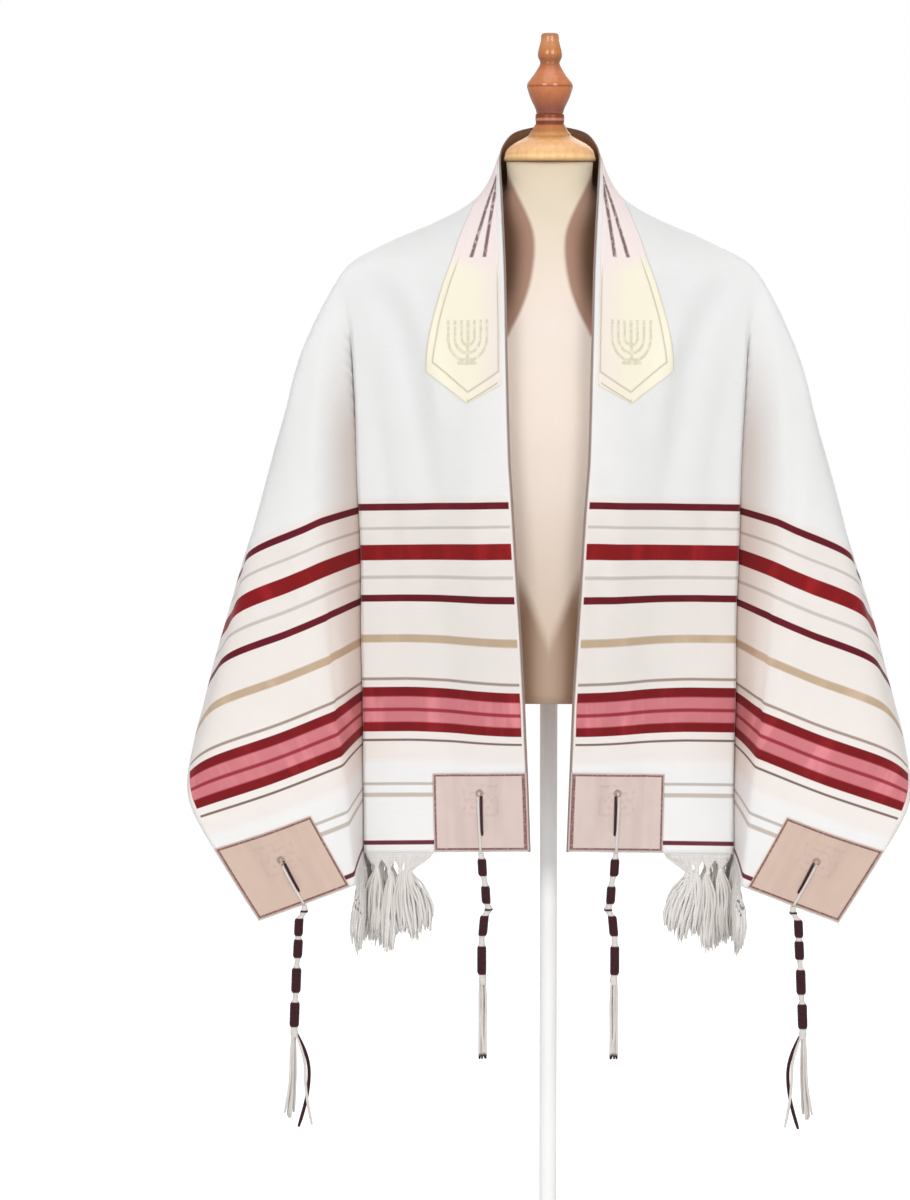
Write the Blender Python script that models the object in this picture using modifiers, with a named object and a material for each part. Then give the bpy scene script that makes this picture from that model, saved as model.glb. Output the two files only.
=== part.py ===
"""Tallit prayer shawl worn on a limbless dress form.

Units are metres, +Z is up, the floor is z = 0 and the stand's pole is the Z axis.
The wearer's front faces -Y. Left and right are those of someone facing the front.
The cloth is a flat rectangle, addressed by two distances: "along" runs from the
centre back to either striped end, and "across" from the neck edge to the outer edge.
"""

import math

import bmesh
import bpy
import numpy as np

HALF_LENGTH = 0.915
WIDTH = 0.600
CLOTH = 0.0020
SEAM_GAP = 0.0004

# The shoulder point, where every fold of a side starts, on the cloth and in space.
APEX_ALONG = 0.262
APEX_ACROSS = 0.200
APEX = np.array((0.2355, -0.020, 1.266))

# Neck edge of the right half, from the centre back round the neck to the front hem:
# along, x, y, z.
NECK_EDGE = (
    (0.000, 0.0000, 0.062, 1.416),
    (0.050, 0.0430, 0.043, 1.408),
    (0.095, 0.0570, 0.002, 1.388),
    (0.160, 0.0535, -0.045, 1.343),
    (0.210, 0.0510, -0.074, 1.302),
    (0.262, 0.0487, -0.098, 1.2555),
    (0.360, 0.0465, -0.118, 1.158),
    (0.480, 0.0430, -0.122, 1.037),
    (0.600, 0.0350, -0.118, 0.917),
    (0.750, 0.0262, -0.114, 0.768),
    (0.915, 0.0200, -0.110, 0.603),
)

# Line over the shoulder blade, at APEX_ACROSS from the neck edge: along, x, y, z.
SHOULDER_LINE = (
    (0.000, 0.0000, 0.107, 1.224),
    (0.100, 0.0950, 0.092, 1.258),
    (0.180, 0.1680, 0.048, 1.292),
    (0.262, 0.2355, -0.020, 1.266),
)

# How the cloth falls between those two lines: along, share of the way outward and
# backward of the curve's middle, and how far that middle sags.
SHOULDER_FALL = (
    (0.000, 0.30, 0.30, 0.089),
    (0.095, 0.55, 0.35, -0.005),
    (0.150, 0.75, 0.45, -0.020),
    (0.200, 0.55, 0.55, -0.006),
    (0.262, 0.38, 0.60, 0.010),
    (0.340, 0.42, 0.55, 0.006),
    (0.420, 0.50, 0.50, 0.000),
)

# Centre back, from the shoulder line down to the hem: y, z.
BACK_HEM = (0.140, 0.830)

# Folds that fan out from the shoulder point: angle on the cloth in degrees from the
# front crease, outward and backward slope, reach, lift and bow.
FOLDS = (
    (0.0, -0.0343, -0.060, 1.000, 0.021, 0.000),
    (7.5, -0.0650, 0.070, 1.000, 0.021, 0.006),
    (10.7, -0.0120, 0.080, 1.000, 0.021, 0.008),
    (23.2, -0.0300, -0.135, 0.940, 0.026, 0.020),
    (31.5, 0.1240, -0.097, 0.940, 0.026, 0.020),
    (38.5, 0.2860, -0.060, 0.945, 0.026, 0.020),
    (47.0, 0.3250, 0.080, 0.960, 0.020, 0.016),
    (56.0, 0.2800, 0.230, 0.970, 0.014, 0.010),
    (66.0, 0.1500, 0.340, 0.980, 0.006, 0.000),
    (78.0, -0.0300, 0.290, 0.990, 0.000, 0.000),
    (90.0, 0.0300, 0.100, 1.000, 0.000, 0.000),
)
LIFT_RADIUS = 0.10
BOW_RADIUS = 0.77
BOW_POWER = 0.60

# Smoothing of the folds: grid step, and the softness in grid steps below and at the
# shoulder, which fades over a length along the cloth.
GRID = 0.005
CRISP = 0.8
SOFT = 2.4
SOFT_FADE = 0.120

# Stations of the shawl's faces, on the cloth.
ALONG_STATIONS = (0.0, 0.030, 0.060, 0.090, 0.120, 0.150, 0.180, 0.210, 0.240, 0.262)
ACROSS_STATIONS = (0.0, 0.010, 0.030, 0.052, 0.073, 0.093, 0.115, 0.143, 0.171, 0.200)
RING_STATIONS = (0.0, 0.055, 0.11, 0.16, 0.211, 0.28, 0.36, 0.44, 0.52, 0.60, 0.68, 0.76, 0.862, 0.93, 1.0)
RAY_ANGLES = (
    0.0, 2.5, 5.0, 7.5, 9.1, 10.7, 13.5, 17.0, 20.5, 23.2, 25.5, 28.5, 31.491,
    35.0, 38.5, 41.5, 44.0, 47.0, 50.0, 53.0, 56.0, 59.5, 63.0, 66.0, 70.0, 74.0, 78.0, 82.0, 86.0, 90.0,
)

# Neckband: a straight band with pointed ends along the neck edge.
BAND_CLOTH = 0.0015
BAND_ACROSS = (0.010, 0.030, 0.052, 0.073, 0.093)
BAND_ALONG = (0.0, 0.030, 0.060, 0.090, 0.120, 0.150, 0.180, 0.210, 0.240, 0.262, 0.298, 0.334, 0.3665)
BAND_POINT = (0.378, 0.390, 0.400, 0.390, 0.378)

# Corner patches: along the cloth, and across it at the neck edge and the outer edge.
PATCH_CLOTH = 0.0012
PATCH_GAP = 0.0005
PATCH_ALONG = (0.825, 0.869, 0.9135)
PATCH_INNER = (0.0015, 0.030, 0.052, 0.073, 0.093, 0.1145)
PATCH_OUTER = (0.4860, 0.5150, 0.5430, 0.5710, 0.5985)

# Fringe: runs of knotted locks along the hem, clear of its folds: first and last
# distance across the cloth, and the number of locks.
FRINGE_RUNS = (
    (0.119, 0.196, 7),
    (0.207, 0.281, 6),
    (0.292, 0.317, 2),
    (0.330, 0.471, 12),
)
FRINGE_GAP = 0.0005
FRINGE_STRIP = 0.0030
FRINGE_THICK = 0.0020
LOCK_ROOT = 0.0065
# Shape of a lock: share of its length, half width, half thickness.
LOCK_RINGS = (
    (0.16, 0.0022, 0.0014),
    (0.42, 0.0042, 0.0018),
    (0.80, 0.0036, 0.0015),
    (1.00, 0.0014, 0.0008),
)
LOCK_LENGTH = 0.098
LOCK_UNEVEN = 0.012
LOCK_UNEVEN_TURN = 2.4
LOCK_SWAY = 0.002
LOCK_SWAY_TURN = 1.7

# Tzitzit: the eyelet's place in its patch, then rows down the cord: distance below
# the hem, sway outward, half width, half depth.
EYELET_ALONG = 0.848
EYELET_IN = 0.058
CORD_CLEAR = 0.0008
CORD_ON_PATCH = (0.0036, 0.0016)
TZITZIT_INNER = (
    (0.004, -0.001, 0.0034, 0.0030),
    (0.007, -0.001, 0.0046, 0.0046),
    (0.025, -0.002, 0.0046, 0.0046),
    (0.027, -0.003, 0.0034, 0.0034),
    (0.036, -0.005, 0.0034, 0.0034),
    (0.038, -0.005, 0.0046, 0.0046),
    (0.056, -0.006, 0.0046, 0.0046),
    (0.059, -0.008, 0.0034, 0.0034),
    (0.064, -0.009, 0.0052, 0.0050),
    (0.069, -0.006, 0.0034, 0.0034),
    (0.072, -0.004, 0.0048, 0.0046),
    (0.093, -0.002, 0.0046, 0.0046),
    (0.096, -0.001, 0.0036, 0.0036),
    (0.104, -0.001, 0.0036, 0.0036),
    (0.106, -0.001, 0.0048, 0.0048),
    (0.137, -0.001, 0.0048, 0.0048),
    (0.139, -0.002, 0.0034, 0.0034),
    (0.144, -0.002, 0.0044, 0.0040),
    (0.150, -0.002, 0.0040, 0.0024),
)
TZITZIT_OUTER = (
    (0.004, 0.000, 0.0034, 0.0030),
    (0.008, 0.000, 0.0052, 0.0050),
    (0.013, 0.003, 0.0034, 0.0034),
    (0.017, 0.006, 0.0048, 0.0048),
    (0.035, 0.007, 0.0048, 0.0048),
    (0.037, 0.007, 0.0034, 0.0034),
    (0.040, 0.007, 0.0050, 0.0048),
    (0.060, 0.008, 0.0050, 0.0048),
    (0.063, 0.008, 0.0036, 0.0036),
    (0.071, 0.009, 0.0036, 0.0036),
    (0.073, 0.009, 0.0052, 0.0050),
    (0.100, 0.010, 0.0050, 0.0050),
    (0.102, 0.010, 0.0036, 0.0036),
    (0.110, 0.011, 0.0036, 0.0036),
    (0.112, 0.011, 0.0052, 0.0050),
    (0.139, 0.012, 0.0050, 0.0050),
    (0.141, 0.012, 0.0036, 0.0036),
    (0.146, 0.012, 0.0046, 0.0042),
    (0.152, 0.012, 0.0042, 0.0026),
)
# Loose ends: share of their length, spread from the cord, bend outward, half width.
END_RINGS = (
    (0.20, 1.3, 0.10, 0.00075),
    (0.55, 2.0, 0.60, 0.00075),
    (0.85, 2.5, 0.85, 0.00075),
    (1.00, 2.7, 1.00, 0.00050),
)
END_COLUMNS = 4
END_ROWS = 2
END_UNEVEN = 0.06
END_LENGTHS = 4
CORD_END_ABOVE_HEM = 0.004
CORD_BEHIND = 0.002
CORD_SIDEWAYS_STEP = 0.020
INNER_ENDS = 0.080
OUTER_ENDS = 0.110
INNER_BEND = 0.001
OUTER_BEND = 0.004

# Covered torso: height, half width, depth in front, depth behind.
TORSO_SECTIONS = (
    (1.3745, 0.0440, 0.0440, 0.0440),
    (1.3600, 0.0430, 0.0430, 0.0440),
    (1.3460, 0.0460, 0.0440, 0.0470),
    (1.3310, 0.0580, 0.0450, 0.0510),
    (1.3160, 0.0800, 0.0460, 0.0560),
    (1.3010, 0.1100, 0.0500, 0.0620),
    (1.2860, 0.1350, 0.0560, 0.0700),
    (1.2680, 0.1520, 0.0630, 0.0780),
    (1.2400, 0.1640, 0.0720, 0.0870),
    (1.2000, 0.1710, 0.0810, 0.0960),
    (1.1500, 0.1730, 0.0900, 0.1040),
    (1.0900, 0.1700, 0.0960, 0.1040),
    (1.0200, 0.1600, 0.0950, 0.0980),
    (0.9500, 0.1480, 0.0910, 0.0890),
    (0.8800, 0.1480, 0.0900, 0.0920),
    (0.8200, 0.1580, 0.0940, 0.1010),
    (0.7890, 0.1640, 0.0960, 0.1050),
    (0.7735, 0.1640, 0.0950, 0.1040),
    (0.7675, 0.1590, 0.0900, 0.0990),
)
TORSO_SIDES = 40
TORSO_SQUARE = 2.3

# Turned pieces, each from its axis round its outside: radius, height.
CAP_FOOT = 1.3750
NECK_CAP = (
    (0.0000, 1.4290),
    (0.0152, 1.4290),
    (0.0161, 1.4280),
    (0.0163, 1.4225),
    (0.0158, 1.4180),
    (0.0170, 1.4165),
    (0.0230, 1.4130),
    (0.0330, 1.4070),
    (0.0420, 1.3985),
    (0.0465, 1.3910),
    (0.0470, 1.3840),
    (0.0452, 1.3770),
    (0.0440, CAP_FOOT),
    (0.0000, CAP_FOOT),
)
FINIAL = (
    (0.0000, 1.5200),
    (0.0080, 1.5195),
    (0.0100, 1.5170),
    (0.0104, 1.5110),
    (0.0122, 1.5040),
    (0.0138, 1.4970),
    (0.0132, 1.4915),
    (0.0110, 1.4867),
    (0.0120, 1.4830),
    (0.0190, 1.4720),
    (0.0252, 1.4640),
    (0.0260, 1.4605),
    (0.0252, 1.4560),
    (0.0200, 1.4420),
    (0.0158, 1.4330),
    (0.0148, 1.4293),
    (0.0000, 1.4293),
)
TURNED_STEPS = 32

POLE_RADIUS = 0.010
POLE_SIDES = 32
FIT_GAP = 0.0003
BOSS_TOP = 0.034
BASE = (
    (0.0000, BOSS_TOP),
    (0.0170, BOSS_TOP),
    (0.0200, 0.0310),
    (0.0200, 0.0200),
    (0.0260, 0.0160),
    (0.1045, 0.0130),
    (0.1800, 0.0090),
    (0.1900, 0.0050),
    (0.1900, 0.0010),
    (0.1890, 0.0000),
    (0.0000, 0.0000),
)

SIDES = (("left", -1.0), ("right", 1.0))


def columns(table, at):
    """Table rows interpolated at the distances in its first column."""
    table = np.array(table)
    return np.stack([np.interp(at, table[:, 0], table[:, c]) for c in range(1, table.shape[1])], axis=-1)


def fold_point(angle, radius):
    """Point of the fan of folds at an angle and a distance from the shoulder point."""
    fold = columns(FOLDS, angle)
    slope = np.concatenate((fold[..., :2], -np.ones_like(fold[..., :1])), axis=-1)
    slope = slope / np.linalg.norm(slope, axis=-1, keepdims=True)
    reach = radius * fold[..., 2] + fold[..., 3] * (1.0 - np.exp(-radius / LIFT_RADIUS))
    bow = np.sin(np.pi * np.clip(radius / BOW_RADIUS, 0.0, 1.0) ** BOW_POWER)
    point = APEX + reach[..., None] * slope
    point[..., 0] += fold[..., 4] * bow
    return point


def folded_cloth(along, across):
    """The draped cloth with sharp folds: right half, arrays of one shape."""
    inward = np.clip(across / APEX_ACROSS, 0.0, 1.0)[..., None]
    sideways = np.clip(along / APEX_ALONG, 0.0, 1.0)[..., None]
    past_along = np.maximum(along - APEX_ALONG, 0.0)
    past_across = np.maximum(across - APEX_ACROSS, 0.0)
    edge = columns(NECK_EDGE, along)
    crease = fold_point(np.zeros_like(along), past_along)
    seam = np.where((along < APEX_ALONG)[..., None], columns(SHOULDER_LINE, along), crease)
    fall = columns(SHOULDER_FALL, along)
    middle = edge + (seam - edge) * fall[..., (0, 1, 0)]
    middle[..., 2] -= fall[..., 2]
    front = (1 - inward) ** 2 * edge + 2 * inward * (1 - inward) * middle + inward**2 * seam
    top = np.array(SHOULDER_LINE[0][1:])
    hem = np.array((0.0,) + BACK_HEM)
    centre_fall = (hem - top) / (WIDTH - APEX_ACROSS)
    side_fall = fold_point(np.full_like(along, 90.0), past_across) - APEX
    back = seam + past_across[..., None] * centre_fall * (1 - sideways) + side_fall * sideways
    side = fold_point(np.degrees(np.arctan2(past_across, past_along)), np.hypot(past_along, past_across))
    in_front = along >= APEX_ALONG
    outside = across >= APEX_ACROSS
    return np.where((in_front & outside)[..., None], side, np.where(outside[..., None], back, front))


def soften(grid, spread, axis):
    """Gaussian smoothing along one axis, which holds the cloth's edges in place."""
    reach = int(3 * spread) + 1
    lines = np.moveaxis(grid, axis, 0)
    before = 2 * lines[:1] - lines[reach:0:-1]
    after = 2 * lines[-1:] - lines[-2 : -reach - 2 : -1]
    padded = np.concatenate((before, lines, after))
    weights = np.exp(-0.5 * (np.arange(-reach, reach + 1) / spread) ** 2)
    weights /= weights.sum()
    total = sum(weight * padded[i : i + len(lines)] for i, weight in enumerate(weights))
    return np.moveaxis(total, 0, axis)


def drape_grid():
    """Middle surface of the whole cloth and its outward normals on an even grid."""
    along = np.linspace(-HALF_LENGTH, HALF_LENGTH, 2 * round(HALF_LENGTH / GRID) + 1)
    across = np.linspace(0.0, WIDTH, round(WIDTH / GRID) + 1)
    along, across = np.meshgrid(along, across, indexing="ij")
    grid = folded_cloth(np.abs(along), across)
    grid[..., 0] *= np.sign(along)
    crisp = soften(soften(grid, CRISP, 0), CRISP, 1)
    soft = soften(soften(grid, SOFT, 0), SOFT, 1)
    share = np.clip(1.0 - (np.abs(along) - APEX_ALONG) / SOFT_FADE, 0.0, 1.0)[..., None]
    share = share * share * (3.0 - 2.0 * share)
    grid = crisp * (1.0 - share) + soft * share
    normals = np.cross(np.gradient(grid, axis=0), np.gradient(grid, axis=1))
    normals /= np.linalg.norm(normals, axis=-1, keepdims=True)
    return grid, normals


DRAPE, DRAPE_NORMALS = drape_grid()


def sample(grid, along, across):
    """Value of a drape grid at signed distances along and distances across."""
    i = (np.asarray(along, float) + HALF_LENGTH) / GRID
    j = np.asarray(across, float) / GRID
    i0 = np.clip(np.floor(i).astype(int), 0, grid.shape[0] - 2)
    j0 = np.clip(np.floor(j).astype(int), 0, grid.shape[1] - 2)
    i = (i - i0)[..., None]
    j = (j - j0)[..., None]
    low = grid[i0, j0] * (1 - j) + grid[i0, j0 + 1] * j
    high = grid[i0 + 1, j0] * (1 - j) + grid[i0 + 1, j0 + 1] * j
    return low * (1 - i) + high * i


def on_cloth(along, across, lift):
    """Point at a height over the cloth's middle surface, on its outer side."""
    normal = sample(DRAPE_NORMALS, along, across)
    normal = normal / np.linalg.norm(normal, axis=-1, keepdims=True)
    return sample(DRAPE, along, across) + lift * normal


def material(name, colour, roughness):
    """Principled material."""
    made = bpy.data.materials.new(name)
    made.use_nodes = True
    shader = made.node_tree.nodes["Principled BSDF"]
    shader.inputs["Base Color"].default_value = (*colour, 1.0)
    shader.inputs["Roughness"].default_value = roughness
    return made


def add_object(name, vertices, faces, finish):
    """Mesh object in the part's collection."""
    mesh = bpy.data.meshes.new(name)
    mesh.from_pydata([tuple(map(float, v)) for v in vertices], [], [tuple(map(int, f)) for f in faces])
    mesh.materials.append(finish)
    mesh.shade_smooth()
    made = bpy.data.objects.new(name, mesh)
    PARTS.objects.link(made)
    return made


def thicken(made, thickness):
    """Wall centred on an open surface."""
    wall = made.modifiers.new("Wall", "SOLIDIFY")
    wall.thickness = thickness
    wall.offset = 0.0
    return made


def grid_faces(rows, cols):
    """Quads of a grid of points in row order."""
    return [
        (r * cols + c, (r + 1) * cols + c, (r + 1) * cols + c + 1, r * cols + c + 1)
        for r in range(rows - 1)
        for c in range(cols - 1)
    ]


def boundary_point(angle):
    """Where a fold's ray leaves the right half of the cloth."""
    along = HALF_LENGTH - APEX_ALONG
    across = WIDTH - APEX_ACROSS
    slope = math.radians(angle)
    if math.tan(slope) * along <= across:
        return np.array((HALF_LENGTH, APEX_ACROSS + along * math.tan(slope)))
    return np.array((APEX_ALONG + across / math.tan(slope), WIDTH))


def shawl_layout():
    """Cloth coordinates and faces of the shawl: panels in rows, sides in rays."""
    apex = np.array((APEX_ALONG, APEX_ACROSS))
    past = [APEX_ALONG + s * (HALF_LENGTH - APEX_ALONG) for s in RING_STATIONS]
    below = [APEX_ACROSS + s * (WIDTH - APEX_ACROSS) for s in RING_STATIONS]
    blocks = [
        [[(a, c) for c in ACROSS_STATIONS] for a in ALONG_STATIONS],
        [[(a, c) for c in ACROSS_STATIONS] for a in past],
        [[(a, c) for c in below] for a in ALONG_STATIONS],
        [[tuple(apex + s * (boundary_point(t) - apex)) for t in RAY_ANGLES] for s in RING_STATIONS],
    ]
    index = {}
    faces = []
    for block in blocks:
        for sign in (1.0, -1.0):
            for r in range(len(block) - 1):
                for c in range(len(block[0]) - 1):
                    ring = (block[r][c], block[r + 1][c], block[r + 1][c + 1], block[r][c + 1])
                    keys = [(round(sign * a, 5) + 0.0, round(b, 5)) for a, b in ring]
                    face = []
                    for key in keys:
                        number = index.setdefault(key, len(index))
                        if number not in face:
                            face.append(number)
                    turn = sum(
                        keys[k - 1][0] * keys[k][1] - keys[k][0] * keys[k - 1][1] for k in range(len(keys))
                    )
                    faces.append(face if turn > 0 else face[::-1])
    return np.array(list(index)), faces


def add_shawl():
    """The cloth: one wall, hanging from the neck and shoulders."""
    layout, faces = shawl_layout()
    points = sample(DRAPE, layout[:, 0], layout[:, 1])
    return thicken(add_object("shawl", points, faces, WHITE_CLOTH), CLOTH)


def add_neckband():
    """The band along the neck edge, with its two pointed ends."""
    rows = [[(a, c) for c in BAND_ACROSS] for a in BAND_ALONG]
    rows.append(list(zip(BAND_POINT, BAND_ACROSS)))
    rows = [[(-a, c) for a, c in row] for row in rows[:0:-1]] + rows
    layout = np.array(rows)
    lift = CLOTH / 2 + SEAM_GAP + BAND_CLOTH / 2
    points = on_cloth(layout[..., 0], layout[..., 1], lift).reshape(-1, 3)
    faces = grid_faces(layout.shape[0], layout.shape[1])
    return thicken(add_object("neckband", points, faces, CREAM_SATIN), BAND_CLOTH)


def add_patch(name, side, stations):
    """One corner patch, laid on the outer side of the cloth."""
    along, across = np.meshgrid(PATCH_ALONG, stations, indexing="ij")
    lift = CLOTH / 2 + PATCH_GAP + PATCH_CLOTH / 2
    points = on_cloth(side * along, across, lift).reshape(-1, 3)
    faces = grid_faces(*along.shape)
    if side < 0:
        faces = [face[::-1] for face in faces]
    return thicken(add_object(name, points, faces, PINK_SATIN), PATCH_CLOTH)


def hem_frame(side, across):
    """Point on the hem's facets, the cloth's downward direction and its normal there."""
    hem_rays = [boundary_point(t) for t in RAY_ANGLES[1:]]
    corners = list(ACROSS_STATIONS) + [spot[1] for spot in hem_rays if spot[0] == HALF_LENGTH]
    corners = np.array(corners + [WIDTH])
    end = np.full_like(corners, side * HALF_LENGTH)
    point = sample(DRAPE, end, corners)
    down = point - sample(DRAPE, end - side * GRID, corners)
    normal = sample(DRAPE_NORMALS, end, corners)
    frame = [
        np.stack([np.interp(across, corners, values[:, axis]) for axis in range(3)], axis=-1)
        for values in (point, down, normal)
    ]
    frame[1] /= np.linalg.norm(frame[1], axis=-1, keepdims=True)
    frame[2] /= np.linalg.norm(frame[2], axis=-1, keepdims=True)
    return frame


def add_fringe(name, side):
    """A narrow strip under the hem with its locks growing from its lower face."""
    stations = []
    is_lock = []
    for start, end, count in FRINGE_RUNS:
        for k in range(count):
            centre = start + (end - start) * (k + 0.5) / count
            stations += [centre - LOCK_ROOT / 2, centre + LOCK_ROOT / 2]
            is_lock += [True, False]
    is_lock = is_lock[:-1]
    point, down, normal = hem_frame(side, stations)
    top = point + down * FRINGE_GAP
    low = top + down * FRINGE_STRIP
    half = normal * FRINGE_THICK / 2
    corners = np.stack((top + half, low + half, low - half, top - half), axis=1)
    vertices = [tuple(v) for ring in corners for v in ring]
    faces = [(0, 1, 2, 3), tuple(4 * len(stations) - 4 + k for k in (3, 2, 1, 0))]
    lock = 0
    for s in range(len(stations) - 1):
        a = 4 * s
        b = a + 4
        faces += [(a + 1, a, b, b + 1), (a, a + 3, b + 3, b), (a + 3, a + 2, b + 2, b + 3)]
        root = (a + 1, b + 1, b + 2, a + 2)
        if not is_lock[s]:
            faces.append(root)
            continue
        centre = (low[s] + low[s + 1]) / 2
        wide = low[s + 1] - low[s]
        wide[2] = 0.0
        wide /= np.linalg.norm(wide)
        deep = np.cross(wide, (0.0, 0.0, 1.0))
        if np.dot(deep, normal[s]) < 0:
            deep = -deep
        length = LOCK_LENGTH + LOCK_UNEVEN * math.sin(LOCK_UNEVEN_TURN * lock + 1.0)
        sway = LOCK_SWAY * math.sin(LOCK_SWAY_TURN * lock)
        ring = root
        for share, half_wide, half_deep in LOCK_RINGS:
            middle = centre + np.array((0.0, 0.0, -length * share)) + wide * sway * share
            start = len(vertices)
            for x, y in ((-1, 1), (1, 1), (1, -1), (-1, -1)):
                vertices.append(tuple(middle + wide * x * half_wide + deep * y * half_deep))
            new = tuple(range(start, start + 4))
            for k in range(4):
                faces.append((ring[k], ring[(k + 1) % 4], new[(k + 1) % 4], new[k]))
            ring = new
        faces.append(ring)
        lock += 1
    if side < 0:
        faces = [face[::-1] for face in faces]
    return add_object(name, vertices, [face[::-1] for face in faces], WHITE_THREAD)


def end_outline():
    """Corner points of the block that the loose ends grow from, on -1 to 1."""
    xs = np.linspace(-1.0, 1.0, END_COLUMNS + 1)
    ys = np.linspace(-1.0, 1.0, END_ROWS + 1)
    return xs, ys


def outline_order():
    """Grid places round the block's edge, and of all its points."""
    around = [(c, 0) for c in range(END_COLUMNS)]
    around += [(END_COLUMNS, r) for r in range(END_ROWS)]
    around += [(c, END_ROWS) for c in range(END_COLUMNS, 0, -1)]
    around += [(0, r) for r in range(END_ROWS, 0, -1)]
    return around


def add_tzitzit(name, side, across, rows, ends, bend):
    """A knotted and wound cord from its eyelet to its loose ends, as one body."""
    along = (EYELET_ALONG, (EYELET_ALONG + HALF_LENGTH) / 2, HALF_LENGTH - CORD_END_ABOVE_HEM)
    lift = CLOTH / 2 + PATCH_GAP + PATCH_CLOTH + CORD_CLEAR + CORD_ON_PATCH[1]
    path = [on_cloth(np.array(side * a), np.array(across), lift) for a in along]
    hem = on_cloth(np.array(side * HALF_LENGTH), np.array(across), lift)
    radii = [CORD_ON_PATCH] * len(path)
    start = hem - np.array((0.0, CORD_BEHIND, 0.0))
    for below, sway, half_wide, half_deep in rows:
        path.append(start + np.array((side * sway, 0.0, -below)))
        radii.append((half_wide, half_deep))
    beside = on_cloth(np.array(side * HALF_LENGTH), np.array(across + CORD_SIDEWAYS_STEP), lift)
    across_way = beside - hem
    across_way[2] = 0.0
    wide = across_way / np.linalg.norm(across_way)
    deep = np.array((-wide[1], wide[0], 0.0)) * (1.0 if wide[0] > 0 else -1.0)
    around = outline_order()
    xs, ys = end_outline()
    turns = [math.atan2(ys[r], xs[c]) for c, r in around]
    vertices = []
    faces = []
    for centre, (half_wide, half_deep) in zip(path, radii):
        for turn in turns:
            offset = wide * math.cos(turn) * half_wide + deep * math.sin(turn) * half_deep
            vertices.append(centre + offset)
    count = len(around)
    faces.append(tuple(range(count))[::-1])
    for ring in range(len(path) - 1):
        for k in range(count):
            a = ring * count + k
            b = ring * count + (k + 1) % count
            faces.append((a, b, b + count, a + count))
    last = (len(path) - 1) * count
    place = {spot: last + k for k, spot in enumerate(around)}
    half_wide, half_deep = radii[-1]
    for c in range(1, END_COLUMNS):
        for r in range(1, END_ROWS):
            place[(c, r)] = len(vertices)
            vertices.append(path[-1] + wide * xs[c] * half_wide + deep * ys[r] * half_deep)
    for c in range(END_COLUMNS):
        for r in range(END_ROWS):
            ring = [place[(c, r)], place[(c + 1, r)], place[(c + 1, r + 1)], place[(c, r + 1)]]
            cx = (xs[c] + xs[c + 1]) / 2 * half_wide
            cy = (ys[r] + ys[r + 1]) / 2 * half_deep
            length = ends * (1.0 - END_UNEVEN * ((3 * c + 5 * r) % END_LENGTHS))
            for share, spread, lean, half in END_RINGS:
                middle = path[-1] + wide * cx * spread + deep * cy * (1.0 + spread)
                middle = middle + np.array((side * bend * lean, 0.0, -length * share))
                begin = len(vertices)
                for x, y in ((-1, -1), (1, -1), (1, 1), (-1, 1)):
                    vertices.append(middle + wide * x * half + deep * y * half)
                new = list(range(begin, begin + 4))
                for k in range(4):
                    faces.append((ring[k], ring[(k + 1) % 4], new[(k + 1) % 4], new[k]))
                ring = new
            faces.append(tuple(ring))
    turned = wide[0] * deep[1] - wide[1] * deep[0]
    if turned > 0:
        faces = [tuple(face)[::-1] for face in faces]
    return add_object(name, vertices, faces, MAROON_CORD)


def add_torso():
    """The covered torso, a loft through squared oval sections."""
    vertices = []
    for height, half_width, front, back in TORSO_SECTIONS:
        for k in range(TORSO_SIDES):
            turn = 2 * math.pi * k / TORSO_SIDES
            x = math.copysign(abs(math.cos(turn)) ** (2 / TORSO_SQUARE), math.cos(turn)) * half_width
            y = math.copysign(abs(math.sin(turn)) ** (2 / TORSO_SQUARE), math.sin(turn))
            vertices.append((x, y * (back if y > 0 else front), height))
    faces = [tuple(range(TORSO_SIDES))]
    for ring in range(len(TORSO_SECTIONS) - 1):
        for k in range(TORSO_SIDES):
            a = ring * TORSO_SIDES + k
            b = ring * TORSO_SIDES + (k + 1) % TORSO_SIDES
            faces.append((a, a + TORSO_SIDES, b + TORSO_SIDES, b))
    last = (len(TORSO_SECTIONS) - 1) * TORSO_SIDES
    faces.append(tuple(range(last, last + TORSO_SIDES))[::-1])
    return add_object("form_torso", vertices, faces, CREAM_COVER)


def add_turned(name, profile, finish):
    """A turned piece from a profile that runs from the axis down its outside."""
    mesh = bpy.data.meshes.new(name)
    points = [(radius, 0.0, height) for radius, height in profile]
    mesh.from_pydata(points, [(k, k + 1) for k in range(len(points) - 1)], [])
    mesh.materials.append(finish)
    made = bpy.data.objects.new(name, mesh)
    PARTS.objects.link(made)
    screw = made.modifiers.new("Turn", "SCREW")
    screw.axis = "Z"
    screw.steps = TURNED_STEPS
    screw.render_steps = TURNED_STEPS
    screw.use_merge_vertices = True
    screw.merge_threshold = 0.00001
    screw.use_smooth_shade = True
    return made


def add_stand():
    """The pole and the round base that it stands in."""
    torso_foot = TORSO_SECTIONS[-1][0]
    top = torso_foot - FIT_GAP
    foot = BOSS_TOP + FIT_GAP
    bpy.ops.mesh.primitive_cylinder_add(
        vertices=POLE_SIDES, radius=POLE_RADIUS, depth=top - foot, location=(0.0, 0.0, (top + foot) / 2)
    )
    pole = bpy.context.object
    pole.name = "stand_pole"
    pole.data.materials.append(WHITE_METAL)
    for holder in pole.users_collection:
        holder.objects.unlink(pole)
    PARTS.objects.link(pole)
    add_turned("stand_base", BASE, WHITE_METAL)


for old in list(bpy.data.objects):
    bpy.data.objects.remove(old)
PARTS = bpy.data.collections.new("tallit_on_dress_form")
bpy.context.scene.collection.children.link(PARTS)

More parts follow.
